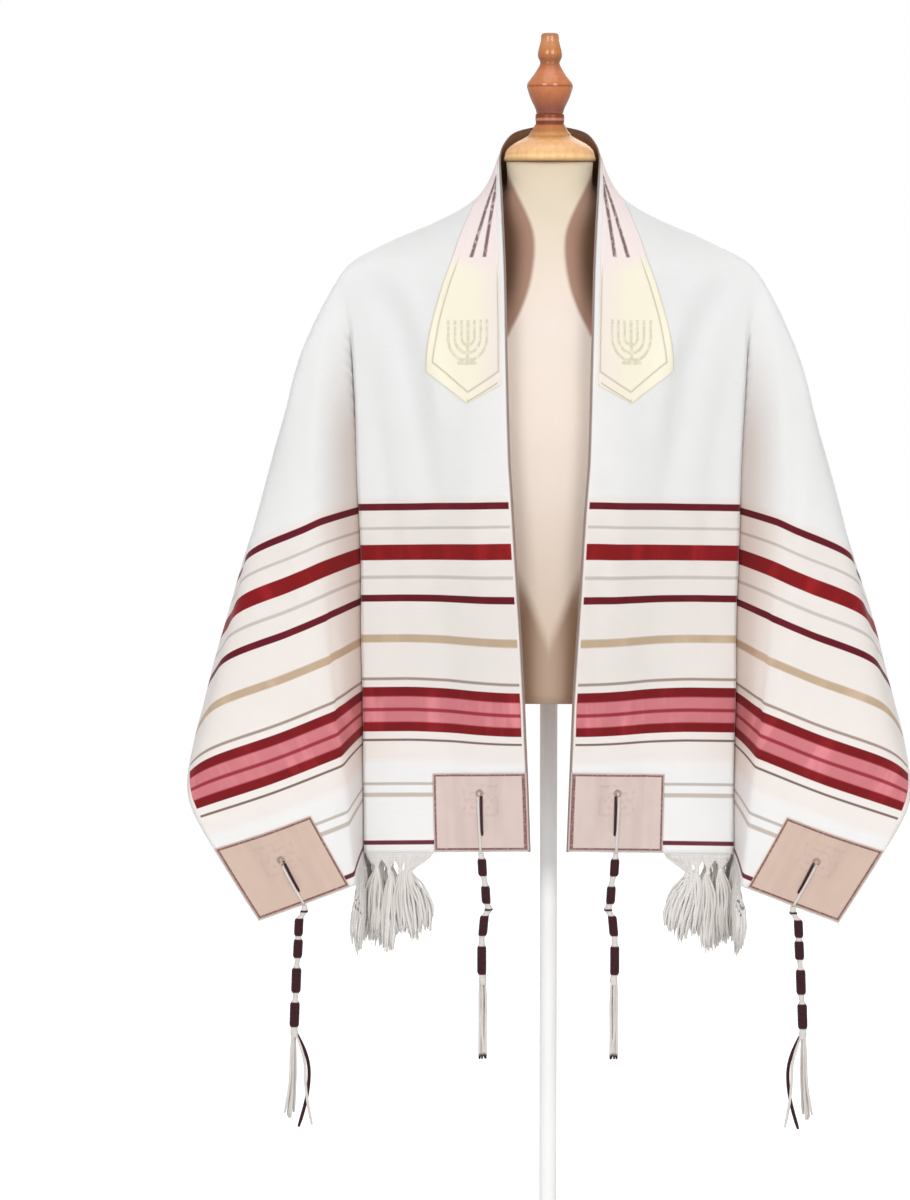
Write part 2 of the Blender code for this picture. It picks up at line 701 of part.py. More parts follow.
WHITE_CLOTH = material("white_cloth", (0.90, 0.87, 0.85), 0.70)
CREAM_SATIN = material("cream_satin", (0.85, 0.80, 0.66), 0.45)
PINK_SATIN = material("pink_satin", (0.66, 0.50, 0.45), 0.45)
WHITE_THREAD = material("white_thread", (0.86, 0.84, 0.81), 0.80)
MAROON_CORD = material("maroon_cord", (0.12, 0.02, 0.03), 0.75)
CREAM_COVER = material("cream_cover", (0.76, 0.66, 0.54), 0.85)
WOOD = material("turned_wood", (0.62, 0.28, 0.09), 0.30)
WHITE_METAL = material("white_metal", (0.88, 0.88, 0.87), 0.35)

add_shawl()
add_neckband()
for side_name, side_sign in SIDES:
    add_patch(f"patch_{side_name}_inner", side_sign, PATCH_INNER)
    add_patch(f"patch_{side_name}_outer", side_sign, PATCH_OUTER)
    add_fringe(f"fringe_{side_name}", side_sign)
    add_tzitzit(
        f"tzitzit_{side_name}_inner", side_sign, EYELET_IN, TZITZIT_INNER, INNER_ENDS, INNER_BEND
    )
    add_tzitzit(
        f"tzitzit_{side_name}_outer", side_sign, WIDTH - EYELET_IN, TZITZIT_OUTER, OUTER_ENDS, OUTER_BEND
    )
add_torso()
add_turned("form_neck_cap", NECK_CAP, WOOD)
add_turned("form_finial", FINIAL, WOOD)
add_stand()
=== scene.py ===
"""Looks of a striped tallit prayer shawl, worn on a limbless dress form.

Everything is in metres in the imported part's frame: the pole is the Z axis, the floor
is z = 0 and the front faces -Y. The shawl is a flat rectangle of cloth, addressed by
two distances: "along" runs from the centre back to either striped end, and "across"
from the neck edge to the outer edge. The drape is worked out from the same sizes as
the solid's, then gets its finer creases here.
"""

import logging
import math
from dataclasses import dataclass, field
from enum import Enum

import bpy
import numpy as np
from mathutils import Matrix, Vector


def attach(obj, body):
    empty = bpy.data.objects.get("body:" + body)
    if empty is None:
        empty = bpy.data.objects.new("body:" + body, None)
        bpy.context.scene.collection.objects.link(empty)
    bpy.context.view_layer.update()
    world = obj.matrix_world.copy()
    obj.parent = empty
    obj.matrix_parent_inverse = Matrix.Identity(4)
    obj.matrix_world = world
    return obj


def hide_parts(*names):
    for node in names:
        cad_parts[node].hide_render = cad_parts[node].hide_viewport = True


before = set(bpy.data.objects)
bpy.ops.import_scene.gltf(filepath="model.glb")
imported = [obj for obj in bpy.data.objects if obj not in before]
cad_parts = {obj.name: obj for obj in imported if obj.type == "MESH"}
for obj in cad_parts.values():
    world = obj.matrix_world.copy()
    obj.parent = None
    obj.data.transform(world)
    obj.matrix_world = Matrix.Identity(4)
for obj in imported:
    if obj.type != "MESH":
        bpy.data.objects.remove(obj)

LOG = logging.getLogger("tallit")
CLOTH_MAP = "cloth"
TONE = "tone"
SHARP = math.radians(50)

Colour = tuple[float, float, float]
Pair = tuple[float, float]
Pairs = tuple[tuple[float, ...], ...]
Array = np.ndarray
Material = bpy.types.Material
Node = bpy.types.Node
Piece = bpy.types.Object
Socket = bpy.types.NodeSocket
Tree = bpy.types.NodeTree


class Side(Enum):
    """Side of someone who faces the front."""

    LEFT = -1.0
    RIGHT = 1.0

    @property
    def word(self) -> str:
        """Name of the side in piece names."""
        return self.name.lower()


class Corner(Enum):
    """Corner of a striped end: beside the neck edge or at the outer edge."""

    INNER = "inner"
    OUTER = "outer"


def srgb(red: int, green: int, blue: int) -> Colour:
    """Linear colour of a display colour: ((c + 0.055) / 1.055) to the power 2.4.

    Args:
        red: Red, 0 to 255.
        green: Green, 0 to 255.
        blue: Blue, 0 to 255.

    Returns:
        The linear colour.
    """
    return tuple(((c / 255 + 0.055) / 1.055) ** 2.4 if c > 10 else c / 3294.6 for c in (red, green, blue))


def smoothstep(low: float, high: float, value: Array) -> Array:
    """Soft step from 0 at low to 1 at high: 3 t^2 - 2 t^3.

    Args:
        low: Where the step starts.
        high: Where the step ends.
        value: Where to read it.

    Returns:
        The step's value.
    """
    t = np.clip((value - low) / (high - low), 0.0, 1.0)
    return t * t * (3.0 - 2.0 * t)


def columns(table: Pairs, at: Array) -> Array:
    """Table rows interpolated in straight lines at the distances in its first column.

    Args:
        table: Rows of a distance and its values.
        at: Distances to read.

    Returns:
        The values, on a last axis of their own.
    """
    rows = np.array(table)
    return np.stack([np.interp(at, rows[:, 0], rows[:, c]) for c in range(1, rows.shape[1])], axis=-1)


def smooth_columns(table: Pairs, at: Array) -> Array:
    """Table rows joined by one smooth curve: a cubic through each two rows, whose slopes
    are those of the rows on either side.

    Args:
        table: Rows of a distance and its values, distances rising.
        at: Distances to read.

    Returns:
        The values, on a last axis of their own.
    """
    rows = np.array(table)
    place, values = rows[:, 0], rows[:, 1:]
    slope = np.gradient(values, place, axis=0)
    k = np.clip(np.searchsorted(place, at, side="right") - 1, 0, len(place) - 2)
    step = (place[k + 1] - place[k])[..., None]
    t = np.clip((at - place[k])[..., None] / step, 0.0, 1.0)
    rise = t * t * (3.0 - 2.0 * t)
    start = t * (1.0 - t) ** 2 * step * slope[k]
    end = t * t * (t - 1.0) * step * slope[k + 1]
    return values[k] * (1.0 - rise) + values[k + 1] * rise + start + end


def unit(vectors: Array) -> Array:
    """Vectors along the last axis, divided by their length."""
    return vectors / np.linalg.norm(vectors, axis=-1, keepdims=True)


def around(sides: int) -> Array:
    """Angles of evenly spaced points round a circle."""
    return 2 * np.pi * np.arange(sides) / sides


class Shape:
    """Points, faces and surface coordinates of one piece, collected and then made a mesh."""

    def __init__(self) -> None:
        """Starts an empty piece."""
        self.points: list[Array] = []
        self.places: list[Array] = []
        self.tones: list[Array] = []
        self.faces: list[list[int]] = []
        self.slots: list[int] = []
        self.count = 0

    def add(self, points: Array, places: Array, tone: Array | float, faces: list,
            slot: int = 0) -> None:
        """Adds points and the faces between them.

        Args:
            points: Points, N by 3.
            places: Surface coordinates of the points, N by 2.
            tone: A number for each point, or one for all, which the finish reads.
            faces: Point numbers of each face.
            slot: Material slot of the faces.
        """
        self.points.append(points)
        self.places.append(places)
        self.tones.append(np.broadcast_to(np.asarray(tone, float), (len(points),)))
        self.faces.extend([[self.count + n for n in face] for face in faces])
        self.slots.extend([slot] * len(faces))
        self.count += len(points)

    def grid(self, points: Array, places: Array, tone: Array | float = 0.0,
             closed: bool = False, slot: int = 0, flip: bool = False) -> None:
        """Adds a sheet of quads over a grid of points.

        Args:
            points: Points, rows by columns by 3.
            places: Surface coordinates, rows by columns by 2.
            tone: A number for each point, or one for all.
            closed: Whether the last column joins the first.
            slot: Material slot.
            flip: Whether the faces turn the other way.
        """
        rows, cols = points.shape[:2]
        r, c = np.meshgrid(np.arange(rows - 1), np.arange(cols if closed else cols - 1), indexing="ij")
        n = (c + 1) % cols
        quads = np.stack((r * cols + c, (r + 1) * cols + c, (r + 1) * cols + n, r * cols + n), axis=-1)
        quads = quads.reshape(-1, 4)
        if flip:
            quads = quads[:, ::-1]
        flat_tone = tone if np.ndim(tone) == 0 else np.asarray(tone).reshape(-1)
        self.add(points.reshape(-1, 3), places.reshape(-1, 2), flat_tone, quads.tolist(), slot)

    def tubes(self, paths: Array, radii: Array, sides: int, tone: Array | float = 0.0,
              slot: int = 0) -> None:
        """Adds round threads: a circle of the given radius carried along each path and closed
        at both ends. The circle lies across the path, on the path's own two side directions.

        Args:
            paths: Centre lines, threads by rings by 3.
            radii: Radius of each ring, threads by rings.
            sides: Sides of a thread.
            tone: A number for each thread, or for each ring of each, or one for all.
            slot: Material slot.
        """
        threads, rings = paths.shape[:2]
        ahead = unit(np.gradient(paths, axis=1))
        helper = np.where(np.abs(ahead[..., 2:3]) > 0.8, np.array((0.0, 1.0, 0.0)), np.array((0.0, 0.0, 1.0)))
        wide = unit(np.cross(ahead, helper))
        deep = np.cross(ahead, wide)
        turn = around(sides)
        circle = np.cos(turn)[:, None] * wide[:, :, None] + np.sin(turn)[:, None] * deep[:, :, None]
        points = paths[:, :, None] + circle * radii[:, :, None, None]
        length = np.cumsum(np.linalg.norm(np.diff(paths, axis=1, prepend=paths[:, :1]), axis=-1), axis=1)
        places = np.stack(np.broadcast_arrays(length[:, :, None], turn * radii.mean()), axis=-1)
        tone = np.asarray(tone, float)
        tone = tone if tone.ndim == 2 else np.broadcast_to(np.atleast_1d(tone)[:, None], (threads, rings))
        t, r, c = np.meshgrid(np.arange(threads), np.arange(rings - 1), np.arange(sides), indexing="ij")
        a = (t * rings + r) * sides
        n = (c + 1) % sides
        quads = np.stack((a + c, a + sides + c, a + sides + n, a + n), axis=-1).reshape(-1, 4).tolist()
        first = (np.arange(threads) * rings * sides)[:, None] + np.arange(sides)
        last = first[:, ::-1] + (rings - 1) * sides
        faces = quads + first.tolist() + last.tolist()
        tones = np.repeat(tone.reshape(-1), sides)
        self.add(points.reshape(-1, 3), places.reshape(-1, 2), tones, faces, slot)

    def close(self, rows: int, sides: int) -> None:
        """Closes both ends of the rings that were added first."""
        last = (rows - 1) * sides
        self.faces.extend([list(range(sides))[::-1], [last + k for k in range(sides)]])
        self.slots.extend([0, 0])

    def make(self, name: str, finishes: list[Material]) -> Piece:
        """Makes the object, smooth, at the origin and riding on the part's body.

        Args:
            name: Name of the piece.
            finishes: Materials, one for each slot.

        Returns:
            The object.
        """
        mesh = bpy.data.meshes.new(name)
        mesh.from_pydata(np.concatenate(self.points).tolist(), [], self.faces)
        for finish in finishes:
            mesh.materials.append(finish)
        mesh.polygons.foreach_set("material_index", np.array(self.slots, np.int32))
        corners = np.zeros(len(mesh.loops), np.int32)
        mesh.loops.foreach_get("vertex_index", corners)
        places = np.concatenate(self.places)[corners].astype(np.float32)
        mesh.uv_layers.new(name=CLOTH_MAP).data.foreach_set("uv", places.ravel())
        tones = mesh.attributes.new(TONE, "FLOAT", "POINT")
        tones.data.foreach_set("value", np.concatenate(self.tones).astype(np.float32))
        mesh.shade_smooth()
        mesh.update()
        made = bpy.data.objects.new(name, mesh)
        bpy.context.scene.collection.objects.link(made)
        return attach(made, "root")


def thicken(made: Piece, thickness: float, inner_slot: int = 0) -> Piece:
    """Gives an open surface a wall, half of it on each side.

    Args:
        made: The piece.
        thickness: Thickness of the wall.
        inner_slot: How many slots further the inner side's material is.

    Returns:
        The piece.
    """
    wall = made.modifiers.new("Wall", "SOLIDIFY")
    wall.thickness = thickness
    wall.offset = 0.0
    wall.material_offset = inner_slot
    return made


class Graph:
    """Places and joins shader nodes in one tree."""

    def __init__(self, tree: Tree) -> None:
        """Works on a tree.

        Args:
            tree: The material's or the group's node tree.
        """
        self.tree = tree

    def node(self, kind: str, **settings: object) -> Node:
        """Adds a node.

        Args:
            kind: Node type.
            settings: Properties of the node.

        Returns:
            The node.
        """
        made = self.tree.nodes.new(kind)
        for name, value in settings.items():
            setattr(made, name, value)
        return made

    def feed(self, socket: Socket, value: object) -> None:
        """Gives a socket a link or a constant.

        Args:
            socket: Input socket.
            value: An output socket, a number or a colour.
        """
        if isinstance(value, Socket):
            self.tree.links.new(value, socket)
        elif socket.type == "RGBA" and len(value) == 3:
            socket.default_value = (*value, 1.0)
        else:
            socket.default_value = value

    def math(self, operation: str, *values: object) -> Socket:
        """Adds a math node.

        Args:
            operation: Its operation.
            values: Its inputs.

        Returns:
            Its output.
        """
        made = self.node("ShaderNodeMath", operation=operation)
        for socket, value in zip(made.inputs, values):
            self.feed(socket, value)
        return made.outputs[0]

    def chain(self, operation: str, values: tuple[object, ...]) -> Socket:
        """Adds a row of math nodes, so that one operation joins any number of values.

        Args:
            operation: The operation.
            values: Two values or more.

        Returns:
            The last node's output.
        """
        total = values[0]
        for value in values[1:]:
            total = self.math(operation, total, value)
        return total

    def plus(self, *values: object) -> Socket:
        """Sum of the values."""
        return self.chain("ADD", values)

    def minus(self, *values: object) -> Socket:
        """First value less the others."""
        return self.chain("SUBTRACT", values)

    def times(self, *values: object) -> Socket:
        """Product of the values."""
        return self.chain("MULTIPLY", values)

    def most(self, *values: object) -> Socket:
        """Largest of the values."""
        return self.chain("MAXIMUM", values)

    def least(self, *values: object) -> Socket:
        """Smallest of the values."""
        return self.chain("MINIMUM", values)

    def size(self, value: object) -> Socket:
        """The value without its sign."""
        return self.math("ABSOLUTE", value)

    def split(self, vector: object) -> list[Socket]:
        """The three parts of a vector."""
        made = self.node("ShaderNodeSeparateXYZ")
        self.feed(made.inputs[0], vector)
        return list(made.outputs)

    def band(self, distance: object, low: float, high: float, blur: float = 0.0009) -> Socket:
        """Mask that is 1 between two distances.

        Args:
            distance: What is read.
            low: Where the band starts.
            high: Where the band ends.
            blur: Width of its soft edges.

        Returns:
            The mask.
        """
        return self.group(GROUPS.band, Distance=distance, From=low, To=high, Blur=blur).outputs[0]

    def weave(self, place: object, pitch: float) -> Socket:
        """Height of a plain weave with the given distance between threads."""
        return self.group(GROUPS.weave, Place=place, Pitch=pitch).outputs[0]

    def uneven(self, place: object, scale: float, amount: float) -> Socket:
        """Factor around 1 for an uneven tone, with patches of 1 / scale metres."""
        return self.group(GROUPS.mottle, Place=place, Scale=scale, Amount=amount).outputs[0]

    def shaded(self, colour: object, factor: object) -> Socket:
        """The colour, its three channels times one factor."""
        grey = self.node("ShaderNodeCombineColor")
        for socket in grey.inputs:
            self.feed(socket, factor)
        return self.mix(1.0, colour, grey.outputs[0], "MULTIPLY")

    def mix(self, share: object, first: object, second: object, blend: str = "MIX") -> Socket:
        """Mixes two colours.

        Args:
            share: Share of the second.
            first: First colour.
            second: Second colour.
            blend: Blend type.

        Returns:
            The mixed colour.
        """
        made = self.node("ShaderNodeMix", data_type="RGBA", blend_type=blend)
        self.feed(made.inputs[0], share)
        self.feed(made.inputs[6], first)
        self.feed(made.inputs[7], second)
        return made.outputs[2]

    def ramp(self, value: object, low: float, high: float, start: float = 0.0, end: float = 1.0) -> Socket:
        """Soft step between two values.

        Args:
            value: What is read.
            low: Where the step starts.
            high: Where the step ends.
            start: Result at low.
            end: Result at high.

        Returns:
            The step's output.
        """
        made = self.node("ShaderNodeMapRange", interpolation_type="SMOOTHSTEP")
        for socket, number in zip(made.inputs, (value, low, high, start, end)):
            self.feed(socket, number)
        return made.outputs[0]

    def noise(self, vector: object, scale: float, detail: float = 2.0,
              stretch: Colour = (1.0, 1.0, 1.0)) -> Socket:
        """Noise value around one half.

        Args:
            vector: Where it is read.
            scale: Scale of the noise.
            detail: Detail of the noise.
            stretch: Scale along each axis.

        Returns:
            The noise's value.
        """
        place = self.node("ShaderNodeMapping")
        self.feed(place.inputs["Vector"], vector)
        place.inputs["Scale"].default_value = stretch
        made = self.node("ShaderNodeTexNoise")
        self.feed(made.inputs["Vector"], place.outputs[0])
        made.inputs["Scale"].default_value = scale
        made.inputs["Detail"].default_value = detail
        return made.outputs[0]

    def colours(self, value: object, stops: tuple[tuple[float, Colour], ...]) -> Socket:
        """Colours that follow a value.

        Args:
            value: What is read.
            stops: Rising values and their colours.

        Returns:
            The colour.
        """
        low, high = stops[0][0], stops[-1][0]
        made = self.node("ShaderNodeValToRGB")
        ramp = made.color_ramp
        for k, (at, colour) in enumerate(stops):
            spot = (at - low) / (high - low)
            if k == 0:
                stop = ramp.elements[0]
            elif k == len(stops) - 1:
                stop = ramp.elements[-1]
            else:
                stop = ramp.elements.new(spot)
            stop.position = spot
            stop.color = (*colour, 1.0)
        self.feed(made.inputs[0], self.math("DIVIDE", self.minus(value, low), high - low))
        return made.outputs[0]

    def group(self, tree: Tree, **values: object) -> Node:
        """Places a node group with its own values.

        Args:
            tree: The group.
            values: Inputs, by name with underscores for spaces.

        Returns:
            The group node.
        """
        made = self.node("ShaderNodeGroup")
        made.node_tree = tree
        for name, value in values.items():
            self.feed(made.inputs[name.replace("_", " ")], value)
        return made


class Groups:
    """Effects that several finishes share, each a node group made once."""

    def __init__(self) -> None:
        """Builds the groups."""
        self.band = self.build_band()
        self.weave = self.build_weave()
        self.mottle = self.build_mottle()

    @staticmethod
    def start(name: str, inputs: dict[str, str], outputs: dict[str, str]) -> tuple[Graph, Node, Node]:
        """Makes an empty group with its sockets.

        Args:
            name: Name of the group.
            inputs: Input names and socket types.
            outputs: Output names and socket types.

        Returns:
            The group's graph, its input node and its output node.
        """
        tree = bpy.data.node_groups.new(name, "ShaderNodeTree")
        for label, kind in inputs.items():
            tree.interface.new_socket(name=label, in_out="INPUT", socket_type=kind)
        for label, kind in outputs.items():
            tree.interface.new_socket(name=label, in_out="OUTPUT", socket_type=kind)
        graph = Graph(tree)
        return graph, graph.node("NodeGroupInput"), graph.node("NodeGroupOutput")

    def build_band(self) -> Tree:
        """Mask of a band: 1 between From and To, with soft edges of the width Blur.

        Returns:
            The group.
        """
        sockets = {name: "NodeSocketFloat" for name in ("Distance", "From", "To", "Blur")}
        graph, given, result = self.start("band mask", sockets, {"Mask": "NodeSocketFloat"})
        distance, start, end, blur = given.outputs[:4]
        past = graph.math("DIVIDE", graph.minus(distance, start), blur)
        before = graph.math("DIVIDE", graph.minus(end, distance), blur)
        graph.feed(result.inputs["Mask"], graph.ramp(graph.least(past, before), -0.5, 0.5))
        return graph.tree

    def build_weave(self) -> Tree:
        """Plain weave: round warp and weft threads, one over the other in turn.

        Returns:
            The group.
        """
        sockets = {"Place": "NodeSocketVector", "Pitch": "NodeSocketFloat"}
        graph, given, result = self.start("plain weave", sockets, {"Height": "NodeSocketFloat"})
        waves = []
        for part in graph.split(given.outputs["Place"])[:2]:
            turns = graph.math("DIVIDE", part, given.outputs["Pitch"])
            waves.append(graph.math("SINE", graph.times(turns, math.pi)))
        checker = graph.ramp(graph.times(*waves), -0.5, 0.5)
        warp = graph.times(graph.size(waves[0]), checker)
        weft = graph.times(graph.size(waves[1]), graph.minus(1.0, checker))
        graph.feed(result.inputs["Height"], graph.plus(warp, weft))
        return graph.tree

    def build_mottle(self) -> Tree:
        """Uneven tone: large soft patches and fine slubs, as a factor for the base colour.

        Returns:
            The group.
        """
        sockets = {"Place": "NodeSocketVector", "Scale": "NodeSocketFloat", "Amount": "NodeSocketFloat"}
        graph, given, result = self.start("uneven tone", sockets, {"Factor": "NodeSocketFloat"})
        scaled = graph.node("ShaderNodeVectorMath", operation="SCALE")
        graph.feed(scaled.inputs[0], given.outputs["Place"])
        graph.feed(scaled.inputs["Scale"], given.outputs["Scale"])
        large = graph.noise(scaled.outputs[0], 1.0, 3.0)
        fine = graph.noise(scaled.outputs[0], 9.0, 2.0, (1.0, 6.0, 1.0))
        both = graph.plus(graph.times(large, 0.7), graph.times(fine, 0.3))
        swing = graph.times(graph.minus(both, 0.5), given.outputs["Amount"])
        graph.feed(result.inputs["Factor"], graph.plus(1.0, swing))
        return graph.tree


GROUPS = Groups()


@dataclass(frozen=True)
class Finish:
    """What every finish has: its name, roughness and the shader's fixed numbers."""

    name: str
    roughness: float = 0.7
    sheen: float = 0.0
    coat: float = 0.0
    specular: float = 0.35
    glow: float = 0.0
    sheen_roughness: float = 0.4
    coat_roughness: float = 0.12
    glow_reach: Colour = (0.006, 0.005, 0.005)

    def begin(self) -> tuple[Material, Graph, Node]:
        """Makes the material with its constants on the shader's own sockets.

        Returns:
            The material, its graph and its shader.
        """
        made = bpy.data.materials.new(self.name)
        made.use_nodes = True
        shader = made.node_tree.nodes["Principled BSDF"]
        shader.inputs["Roughness"].default_value = self.roughness
        shader.inputs["Sheen Weight"].default_value = self.sheen
        shader.inputs["Sheen Roughness"].default_value = self.sheen_roughness
        shader.inputs["Coat Weight"].default_value = self.coat
        shader.inputs["Coat Roughness"].default_value = self.coat_roughness
        shader.inputs["Specular IOR Level"].default_value = self.specular
        shader.inputs["Subsurface Weight"].default_value = self.glow
        shader.inputs["Subsurface Radius"].default_value = self.glow_reach
        shader.inputs["Subsurface Scale"].default_value = 1.0
        return made, Graph(made.node_tree), shader

    @staticmethod
    def cloth_place(graph: Graph) -> tuple[Socket, Socket, Socket]:
        """The place on the flat cloth.

        Args:
            graph: The material's graph.

        Returns:
            The place as a vector, and its two distances.
        """
        place = graph.node("ShaderNodeUVMap", uv_map=CLOTH_MAP)
        along, across, _ = graph.split(place.outputs[0])
        return place.outputs[0], along, across

    @staticmethod
    def relief(graph: Graph, shader: Node, height: object, depth: float, strength: float = 1.0) -> None:
        """Gives the surface a fine relief.

        Args:
            graph: The material's graph.
            shader: The shader.
            height: Height, 0 to 1.
            depth: Depth of the relief in metres.
            strength: Strength of the relief.
        """
        bump = graph.node("ShaderNodeBump")
        bump.inputs["Strength"].default_value = strength
        bump.inputs["Distance"].default_value = depth
        graph.feed(bump.inputs["Height"], height)
        graph.feed(shader.inputs["Normal"], bump.outputs[0])


@dataclass(frozen=True)
class Stripe:
    """One woven stripe: its two edges above the hem, in metres, and its colour."""

    low: float
    high: float
    colour: Colour
    # How much painted satin sheen the stripe gets: streaks where its colour is lighter.
    streaks: float = 0.0
    blur: float = 0.001


STRIPES = (
    Stripe(0.3871, 0.3949, srgb(98, 4, 26), 0.3),
    Stripe(0.3656, 0.3688, srgb(204, 192, 187), 0.0, 0.0018),
    Stripe(0.3315, 0.3489, srgb(130, 2, 10), 0.6),
    Stripe(0.3106, 0.3144, srgb(204, 192, 187), 0.0, 0.0018),
    Stripe(0.285, 0.2928, srgb(96, 2, 22), 0.3),
    Stripe(0.239, 0.248, srgb(192, 168, 142), 0.2, 0.0022),
    Stripe(0.1962, 0.1994, srgb(160, 142, 132), 0.0, 0.0016),
    Stripe(0.1381, 0.1885, srgb(118, 4, 12), 0.5),
    Stripe(0.1481, 0.1784, srgb(152, 42, 58), 0.3),
    Stripe(0.1649, 0.1773, srgb(203, 120, 126), 0.5, 0.0018),
    Stripe(0.1492, 0.1608, srgb(203, 120, 126), 0.5, 0.0018),
    Stripe(0.1271, 0.1298, srgb(118, 98, 90), 0.0, 0.0014),
    Stripe(0.0772, 0.0804, srgb(188, 180, 174), 0.0, 0.0018),
    Stripe(0.0638, 0.0686, srgb(194, 184, 174), 0.0, 0.0018),
    Stripe(0.0094, 0.0144, srgb(100, 36, 50), 0.3),
)


@dataclass(frozen=True)
class WovenCloth(Finish):
    """The shawl's white cloth with its woven stripes."""

    white: Colour = srgb(243, 241, 240)
    cream: Colour = srgb(242, 232, 226)
    half_length: float = 0.915
    width: float = 0.6
    selvedge: float = 0.0055
    pitch: float = 0.0011
    shade: Colour = srgb(142, 108, 82)
    # Painted shadow: a dark band along the neck edge, which stands for the shadow between the cloth's edge
    # and the form.
    edge: Colour = srgb(116, 92, 80)
    shoulder: Pair = (0.262, 0.2)
    fold_shade: Colour = srgb(206, 194, 188)
    cream_part: Pair = (0.105, 0.4)
    cream_blur: float = 0.012
    selvedge_blur: float = 0.0012
    gutter: Pair = (10.0, 21.5)
    gutter_blur: float = 9.0
    gutter_start: Pair = (0.04, 0.2)
    gutter_end: Pair = (0.48, 0.62)
    gutter_rest: float = 0.65
    shade_across: Pair = (0.05, 0.075)
    shade_along: Pair = (0.08, 0.105)
    painted_edge_shadow: Pair = (0.0018, 0.004)
    depth: float = 0.00022
    inside: bool = False

    def make(self) -> Material:
        """Stripes by the distance above the hem, over the white and cream ground. The gutter
        is the shade in the fold beside the front, between two angles round the shoulder.

        Returns:
            The material.
        """
        made, graph, shader = self.begin()
        place, along, across = self.cloth_place(graph)
        along = graph.size(along)
        above = graph.minus(self.half_length, along)
        colour = graph.mix(graph.band(above, *self.cream_part, self.cream_blur), self.white, self.cream)
        inset = graph.band(across, self.selvedge, self.width - self.selvedge, self.selvedge_blur)
        sheen_noise = graph.noise(place, 38.0, 3.0, (0.22, 1.0, 1.0))
        for stripe in STRIPES:
            mask = graph.times(graph.band(above, stripe.low, stripe.high, stripe.blur), inset)
            tint: object = stripe.colour
            if stripe.streaks:
                # Painted satin sheen: the stripe's colour lightened in soft streaks.
                light = tuple(min(1.0, c * 1.9 + 0.01) for c in stripe.colour)
                share = graph.ramp(sheen_noise, 0.45, 0.75, 0.0, stripe.streaks)
                tint = graph.mix(share, stripe.colour, light)
            colour = graph.mix(mask, colour, tint)
        colour = graph.shaded(colour, graph.uneven(place, 26.0, 0.05))
        fold_along = graph.minus(along, self.shoulder[0])
        fold_across = graph.minus(across, self.shoulder[1])
        turn = graph.times(graph.math("ARCTAN2", fold_across, fold_along), 180 / math.pi)
        gutter = graph.band(turn, *self.gutter, self.gutter_blur)
        starts = graph.ramp(fold_along, *self.gutter_start)
        ends = graph.ramp(fold_along, *self.gutter_end, 1.0, self.gutter_rest)
        colour = graph.mix(graph.times(gutter, starts, ends), colour, self.fold_shade, "MULTIPLY")
        if self.inside:
            by_edge = graph.ramp(across, *self.shade_across, 1.0, 0.0)
            by_middle = graph.ramp(along, *self.shade_along, 1.0, 0.0)
            colour = graph.mix(graph.times(by_edge, by_middle), colour, self.shade)
        # Painted shadow along the neck edge, drawn on the cloth's outermost few millimetres.
        edge_shadow = graph.ramp(across, *self.painted_edge_shadow, 0.85, 0.0)
        colour = graph.mix(edge_shadow, colour, self.edge)
        graph.feed(shader.inputs["Base Color"], colour)
        weave = graph.weave(place, self.pitch)
        ribs = graph.noise(place, 60.0, 2.0, (6.0, 0.35, 1.0))
        height = graph.plus(graph.times(weave, 0.5), graph.times(ribs, 0.9))
        self.relief(graph, shader, height, self.depth)
        return made


